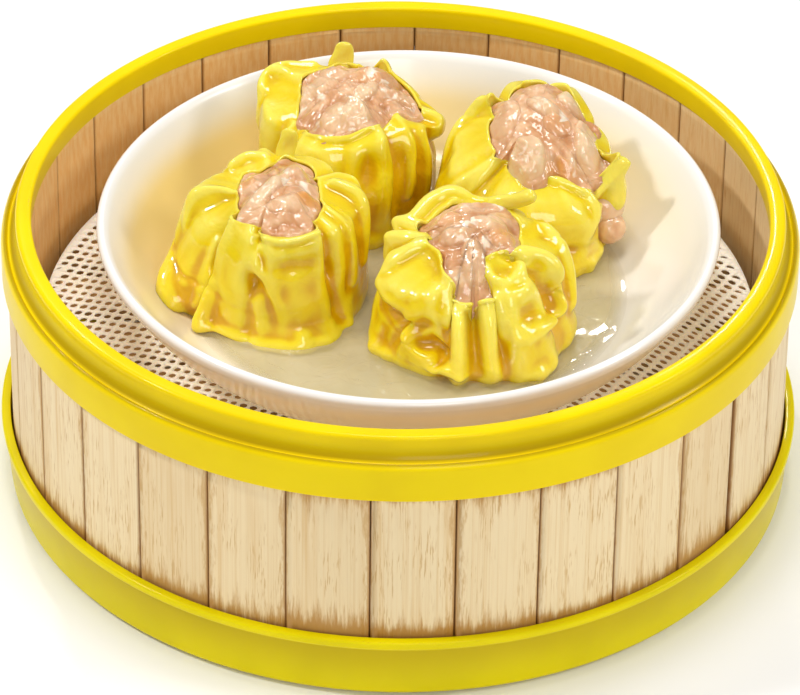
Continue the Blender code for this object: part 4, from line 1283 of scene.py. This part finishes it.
backRight = dict(
    name="back_right", x=29.6, y=28.4, z=42.6, seed=37, thick=1.1, foot=0.98, low=1.03,
    crown=(1.0, 1.0, 28.5),
    outline=[(2, 20.5, 19, 20, 15.5, 23), (20, 20.5, 18.5, 23, 15.5, 25), (40, 20.5, 18, 26, 15.5, 27),
             (57, 20.5, 18, 29.5, 16, 31), (72, 20.5, 17, 28, 14.5, 29), (89, 20.5, 17, 30.5, 13.5, 32),
             (105, 20.5, 17.5, 30, 14, 31), (118, 20.5, 17, 27.5, 13, 28.5),
             (130, 20.5, 17.5, 28.5, 14, 30), (142, 20.5, 17.2, 25.5, 12, 27.5),
             (168, 22, 19.6, 21, 10.5, 26), (190, 23, 19.5, 19, 9.8, 25.5),
             (213, 22.5, 17.5, 18, 9.2, 24), (226, 21.5, 15.5, 17.5, 9.2, 22),
             (245, 21.5, 15.8, 19, 9.8, 21.5), (270, 21.5, 15.5, 19, 9.8, 20.5),
             (300, 21, 16, 18.5, 10.5, 20), (318, 20.5, 19, 15, 15, 17.5),
             (326, 20, 19.5, 14, 16.5, 16.5), (333, 18, 16.5, 13.5, 13.5, 15),
             (340, 19, 20, 19, 17.5, 20), (347, 19.5, 23.5, 23, 21, 24.6), (355, 20, 20, 20, 16.5, 22.4)],
    folds=[("ridge", 213, 184, 0.4, 1.0, 5, 1.4, 0), ("groove", 223, 190, 0.4, 1.0, 6, -1.8, 0),
           ("groove", 330, 326, 0.2, 0.9, 4, -1.8, 0), ("groove", 355, 350, 0.3, 0.9, 4, -1.6, 0),
           ("groove", 144, 152, 0.5, 1.0, 4, -1.4, 0), ("groove", 118, 118, 0.4, 1.0, 5, -1.6, 0),
           ("groove", 72, 72, 0.4, 1.0, 5, -1.6, 0), ("groove", 30, 28, 0.4, 1.0, 5, -1.4, 0),
           ("ridge", 318, 300, 0.2, 0.7, 7, 0.8, 0)],
    dents=[(178, 0.70, 22, 0.14, -1.0, 0), (285, 0.30, 24, 0.08, -1.4, 0), (340, 0.48, 12, 0.12, 1.2, 0),
           (300, 0.62, 18, 0.12, 0.8, 0)],
    skirt=[(300, 34, 1.8, 0.5)],
    rolls=[[(-9.6, 10.6, 30.0, 1.2), (-7.8, 8.0, 29.0, 1.1), (-6.8, 3.0, 27.0, 1.0),
            (-7.6, -4.6, 24.0, 1.1), (-12.8, -8.8, 18.5, 1.2), (-17.0, -9.6, 14, 1.1)],
           [(1.6, -8.2, 20.8, 1.0), (5, -9.2, 20.4, 1.2), (9.5, -9.8, 19.6, 1.3),
            (13.6, -10.6, 17.2, 1.3), (15.2, -12.4, 13.6, 1.5), (13.4, -15.4, 10, 1.3)],
           [(14.8, -2.0, 20, 2.4), (19.0, -4.2, 17, 3.0), (19.8, -6.4, 12.5, 2.6)],
           [(-1.0, 13.2, 31.4, 1.4), (3.0, 13.8, 31.4, 1.3), (7.8, 13.4, 30.6, 1.3)],
           [(-11.5, 11.0, 29, 1.3), (-15.0, 9.6, 25, 1.4), (-18.4, 6.4, 19, 1.5), (-20.6, 3.6, 11, 1.3)],
           [(18.4, -4.4, 24.0, 1.0), (21.8, -5.0, 23.8, 1.0)]],
    fingers=[],
    spills=[(270, 40, 3.0), (330, 22, 2.6), (20, 24, 2.4), (70, 16, 1.6)],
    blobs=[(17.0, -5.0, 10.4, 4.8, 4.4, 4.4), (18.6, -7.6, 6.4, 3.8, 3.8, 4.0),
           (17.0, -0.6, 12.0, 3.4, 3.6, 3.4)],
    amberShade=[(205, 26, 0.45, 0.3, 0.35), (285, 26, 0.25, 0.2, 0.25)],
    curls=[(-1.4, -7.4, 3.3, 1.0, 150.0, 300.0, 0.9)],
    lumps=[(-1.4, -7.4, 4.8, 4.2, 0, 4.4, 0.5), (9.4, 9.4, 3.4, 3.2, 0, 1.8, 0.9),
           (13.0, -1.3, 3.2, 6.0, 0, 2.4, 0.8), (3.0, 5.0, 4.6, 2.4, -30, 1.4, 0.7),
           (-6.0, 4.0, 3.6, 5.0, 0, 1.4, 0.2), (7.0, -9.0, 4.0, 3.0, 0, 1.6, -0.6),
           (6.0, 1.0, 3.4, 3.0, 0, 1.2, -0.2)])

frontRight = dict(
    name="front_right", x=15.8, y=-12.4, z=41.3, seed=52, thick=1.3, foot=1.0, low=1.08,
    crown=(1.0, 2.0, 27.0),
    outline=[(0, 22.5, 19, 22.5, 11.5, 25), (12, 22.5, 20.5, 22, 12, 24.5),
             (27, 21.5, 19.5, 24, 13, 24.8), (36, 20.5, 17.5, 25.5, 14.0, 26.5),
             (48, 20.5, 16.8, 26.5, 14.0, 27.4), (62, 20.5, 16.0, 27, 13, 28),
             (90, 20.5, 15.6, 26.5, 12.5, 27), (104, 20.5, 17.8, 28.2, 13.5, 29),
             (124, 20.5, 18.6, 26.5, 13, 27.5), (140, 20.8, 18.0, 25, 13, 26),
             (149, 21, 20, 24.4, 14, 25.4), (156, 20, 17.2, 22.5, 12.5, 24), (163, 21, 20, 23.6, 9.8, 25),
             (171, 20, 17.6, 22, 10.2, 24.2), (180, 21, 18, 23.4, 10, 25.5),
             (192, 21, 20.8, 18.5, 8.5, 25.5), (206, 20, 20, 18.5, 7.8, 25),
             (225, 19.5, 17.5, 19.5, 9, 24), (241, 19.5, 15.5, 20.5, 11.5, 23),
             (253, 18, 13.5, 16, 12.0, 18), (262, 20.5, 17.5, 17, 14.5, 19.5),
             (272, 18.5, 13.5, 14, 12, 15.6), (283, 20, 17.5, 18, 15.5, 20), (292, 19.5, 15, 17, 13, 19),
             (300, 21, 15.4, 21.5, 6.0, 25), (320, 21.5, 17, 22.5, 6.8, 26),
             (336, 20, 15.4, 21.5, 9.5, 24.6), (346, 22, 19, 22, 10.5, 26)],
    folds=[("groove", 156, 160, 0.45, 1.0, 3.5, -1.6, 0), ("groove", 171, 178, 0.5, 1.0, 3.5, -1.6, 0),
           ("ridge", 232, 222, 0.2, 0.62, 4.5, 2.0, 0), ("ridge", 262, 266, 0.15, 0.8, 4.5, 2.8, 0),
           ("groove", 273, 277, 0.2, 0.9, 4, -2.2, 0), ("ridge", 283, 285, 0.15, 0.75, 4.5, 2.2, 0),
           ("groove", 293, 292, 0.25, 0.75, 4, -1.8, 0), ("groove", 337, 332, 0.35, 1.0, 3.5, -1.8, 0),
           ("groove", 3, 358, 0.3, 0.9, 4, -1.5, 0), ("groove", 20, 15, 0.3, 0.95, 4, -1.8, 0),
           ("groove", 41, 36, 0.3, 0.8, 4, -1.2, 0), ("groove", 78, 76, 0.35, 0.95, 5, -1.6, 0),
           ("groove", 114, 116, 0.4, 0.95, 5, -1.4, 0), ("groove", 134, 138, 0.4, 0.95, 4, -1.2, 0)],
    dents=[(216, 0.53, 26, 0.07, -3.2, 0), (244, 0.36, 13, 0.11, -3.6, 0), (248, 0.20, 20, 0.06, 1.0, 0),
           (311, 0.88, 10, 0.07, 0.0, -2.6), (347, 0.60, 9, 0.10, -3.0, 0), (340, 0.46, 14, 0.05, 1.0, 0),
           (315, 0.58, 10, 0.09, -2.2, 0), (312, 0.45, 16, 0.05, 0.8, 0)],
    skirt=[(318, 24, 2.2, 0.5), (205, 20, 2.4, 0.3)],
    rolls=[[(-12.6, 10.4, 25.6, 1.8), (-8.5, 14.4, 27.4, 2.2), (-4.1, 15.8, 28.4, 2.2),
            (0.4, 14.2, 27.2, 1.8), (7.0, 13.0, 27.6, 1.6)],
           [(-16.6, 10.0, 24.4, 1.7), (-13.5, 8.5, 25.0, 1.9), (-10, 5.5, 25.6, 1.6)],
           [(-18.0, 5.8, 23.2, 1.8), (-14, 4, 24.2, 2.0), (-9.8, 1.9, 25.0, 1.5)],
           [(-18.0, -2.5, 21.0, 1.8), (-14, -0.8, 24.0, 1.8), (-9.9, 0.0, 25.3, 1.6),
            (-6.9, -3.3, 25.4, 1.6), (-5.4, -7.5, 24.2, 1.6), (-4.8, -11.5, 21.4, 1.4)],
           [(-20.2, -3.6, 17.6, 1.6), (-18.2, -8.4, 16.6, 1.4), (-12.4, -12.8, 16.4, 1.0)],
           [(3.6, -14.6, 20, 2.0), (4.6, -17, 16, 1.9), (5.2, -18.6, 11.5, 1.5), (4.6, -20.2, 6, 1.2)],
           [(-4.2, -13, 20.5, 1.1), (-3.9, -16.2, 16, 1.4), (-2.8, -18.8, 11.5, 1.8),
            (-3.8, -20.8, 7.4, 1.8), (-8.5, -21.4, 4.4, 1.3)],
           [(-13.8, -12.6, 15.4, 1.0), (-15.2, -15.2, 10.4, 1.3), (-12.4, -17.6, 8.2, 1.2),
            (-8.2, -19.2, 8.4, 1.1)],
           [(0.9, -4.8, 24.8, 1.3), (6, -3.2, 25.8, 1.4), (11.2, -3.6, 25.6, 1.4), (12, -6.8, 24.8, 1.3),
            (8, -10.4, 23.0, 1.3), (4, -9.2, 23.4, 1.2), (1.0, -5.6, 24.6, 1.2)],
           [(12, -2.2, 25.6, 1.5), (17, -3.2, 24.4, 1.9), (21.0, -5.2, 20, 1.8), (22.0, -8.4, 14, 1.5),
            (17.4, -12.6, 12.6, 1.3), (11.5, -15.4, 13.2, 1.1)],
           [(16.8, 8.8, 24, 1.7), (20.4, 5.2, 21.5, 1.9), (22.6, 2.4, 17, 1.8), (23.0, -2.4, 11, 1.4)]],
    fingers=[(0.85,
              [(2.0, 13.4, 26.6, 1.9), (7.0, 12.9, 28.0, 1.9), (11.0, 11.6, 30.0, 1.75),
               (14.4, 10.2, 32.2, 1.95)])],
    spills=[(272, 9, 2.0), (60, 30, 0.6)],
    blobs=[],
    amberShade=[(214, 24, 0.50, 0.28, 0.45), (350, 24, 0.35, 0.3, 0.20)],
    curls=[],
    lumps=[(-3.0, 1.0, 4.4, 3.0, 20, 1.2, 0.3), (4.0, 4.0, 4.4, 2.8, 0, 1.2, 0.4),
           (0.5, -5.5, 2.8, 5.0, 10, 1.6, 0.3), (-5.0, 5.0, 3.0, 3.0, 0, 1.0, -0.3),
           (7.0, 1.0, 3.0, 3.0, 0, 1.0, -0.5)])

dumplings = (frontLeft, backLeft, backRight, frontRight)
for settings in dumplings:
    _, wrapperEdge = makeWrapper(settings)
    makeFilling(settings, wrapperEdge)
    for number, (flatness, marks) in enumerate(settings["fingers"]):
        finishPiece(makeFinger(settings, number + 1, marks, flatness), "wrapper")
    for number, row in enumerate(settings["blobs"]):
        makeBlob(settings, number + 1, row)
    print("dumpling", settings["name"], "done")


# broth
broth = dict(radius=53.2, level=42.9, floor=41.3, steps=240, rows=80, rise=0.5, reach=1.4, dumplingR=20.5)


def makeBrothPool(s):
    # a thin disc over the plate's floor; its top climbs a little where it meets the dumplings
    a = np.arange(s["steps"]) * tau / s["steps"]
    rr, aa = np.meshgrid(np.linspace(1.0, s["radius"], s["rows"]), a, indexing="ij")
    x = plate["x"] + rr * np.cos(aa)
    y = plate["y"] + rr * np.sin(aa)
    climb = np.zeros_like(x)
    for d in dumplings:
        away = np.clip(np.hypot(x - d["x"], y - d["y"]) - s["dumplingR"], 0.0, None)
        climb = np.maximum(climb, s["rise"] * np.exp(-away / s["reach"]))
    edge = smoothStep(s["radius"] - 3.0, s["radius"], rr)
    ripple = 0.06 * softNoise(x * 0.16, y * 0.16, 0.0 * x, 5, 2)
    top = s["level"] + climb + ripple + 0.25 * edge
    # the underside follows the plate's well, and pulls in a little at its edge
    lowR = np.interp(rr, [0, 46, 51, s["radius"]], [0, 46, 51, s["radius"] - 0.3])
    lowZ = np.interp(rr, [0, 46, 51, 53, s["radius"]],
                     [s["floor"], s["floor"] + 0.15, 42.0, 42.6, s["level"] + 0.05])
    low = np.stack([plate["x"] + lowR * np.cos(aa), plate["y"] + lowR * np.sin(aa), lowZ], -1)
    up = np.stack([x, y, top], -1)
    points, faces = closedShell(np.concatenate([low, up[::-1]]), low[0].mean(axis=0), up[0].mean(axis=0))
    obj = meshPiece("broth_pool", points, faces, brothThin)
    fade = 1.0 - smoothStep(s["radius"] - 7.0, s["radius"] - 0.5, rr)
    thickness = smoothStep(0.3, 1.7, top - lowZ) * fade
    depth = np.concatenate([0.6 * thickness.ravel(), thickness[::-1].ravel(), [0.6, 1.0]])
    pointAttribute(obj, "brothDepth", depth)
    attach(obj, "root")


makeBrothPool(broth)
print("broth done")


# floor, light, camera; places in metres
studio = dict(worldStrength=0.29, floorHalf=4.0, floorTones=((0.93, 0.93, 0.925), (0.95, 0.95, 0.945)))
lights = dict(
    keyLeft=dict(place=(-0.84, -0.06, 0.98), aimZ=0.05, size=0.12, power=5.9),
    sparkLeft=dict(place=(-0.30, 0.75, 0.85), aimZ=0.06, size=0.06, power=1.8),
    glintBack=dict(place=(0.11, 1.08, 0.82), aimZ=0.05, size=0.03, power=0.5),
    topSoft=dict(place=(0.0, 0.02, 1.25), aimZ=0.03, size=0.36, power=5.6),
    fillFront=dict(place=(0.25, -1.12, 0.75), aimZ=0.03, size=0.5, power=4.0),
    fillRight=dict(place=(0.95, -0.10, 0.75), aimZ=0.03, size=0.30, power=3.3))
view = dict(place=(0.0, -1.00533, 0.75954), pitch=36.0036, yaw=0.0141, roll=0.8015, lens=243.484)


def makeFloor(s):
    # one pale square just under the basket
    h, z = s["floorHalf"], -0.0005
    mesh = bpy.data.meshes.new("paleFloor")
    mesh.from_pydata([(-h, -h, z), (h, -h, z), (h, h, z), (-h, h, z)], [], [(0, 1, 2, 3)])
    mat, tree, shader, coords = newMaterial("paleFloor", 0.8, ior=1.5)
    speck = noiseNode(tree, coords, 3.0, 2.0)
    tree.links.new(mixColor(tree, speck, *s["floorTones"]), shader.inputs["Base Color"])
    mesh.materials.append(mat)
    obj = bpy.data.objects.new("paleFloor", mesh)
    bpy.context.scene.collection.objects.link(obj)


def makeWorld(s):
    # even white light from all round
    world = bpy.data.worlds.new("softStudio")
    world.use_nodes = True
    background = world.node_tree.nodes["Background"]
    background.inputs["Color"].default_value = (1.0, 1.0, 1.0, 1.0)
    background.inputs["Strength"].default_value = s["worldStrength"]
    bpy.context.scene.world = world


def addLight(name, s):
    # a square soft light, turned towards a point above the basket's middle
    data = bpy.data.lights.new(name, "AREA")
    data.size = s["size"]
    data.energy = s["power"]
    obj = bpy.data.objects.new(name, data)
    bpy.context.scene.collection.objects.link(obj)
    direction = Vector((0.0, 0.0, s["aimZ"])) - Vector(s["place"])
    obj.rotation_euler = direction.to_track_quat("-Z", "Y").to_euler()
    obj.location = s["place"]


def makeCamera(s):
    # looks along yaw and pitch, then turns by roll about its own line of sight; angles in degrees
    pitch, yaw, roll = (math.radians(s[k]) for k in ("pitch", "yaw", "roll"))
    ahead = np.array([math.sin(yaw) * math.cos(pitch), math.cos(yaw) * math.cos(pitch), -math.sin(pitch)])
    level = np.array([math.cos(yaw), -math.sin(yaw), 0.0])
    upright = np.cross(level, ahead)
    right = math.cos(roll) * level + math.sin(roll) * upright
    up = -math.sin(roll) * level + math.cos(roll) * upright
    data = bpy.data.cameras.new("mainCamera")
    data.lens = s["lens"]
    data.sensor_width = 36.0
    data.sensor_fit = "HORIZONTAL"
    data.clip_start = 0.05
    data.clip_end = 20.0
    obj = bpy.data.objects.new("mainCamera", data)
    bpy.context.scene.collection.objects.link(obj)
    rows = [[right[i], up[i], -ahead[i], s["place"][i]] for i in range(3)] + [[0, 0, 0, 1]]
    obj.matrix_world = Matrix(rows)
    bpy.context.scene.camera = obj


makeFloor(studio)
makeWorld(studio)
for lightName, lightValues in lights.items():
    addLight(lightName, lightValues)
makeCamera(view)
print("scene ready")
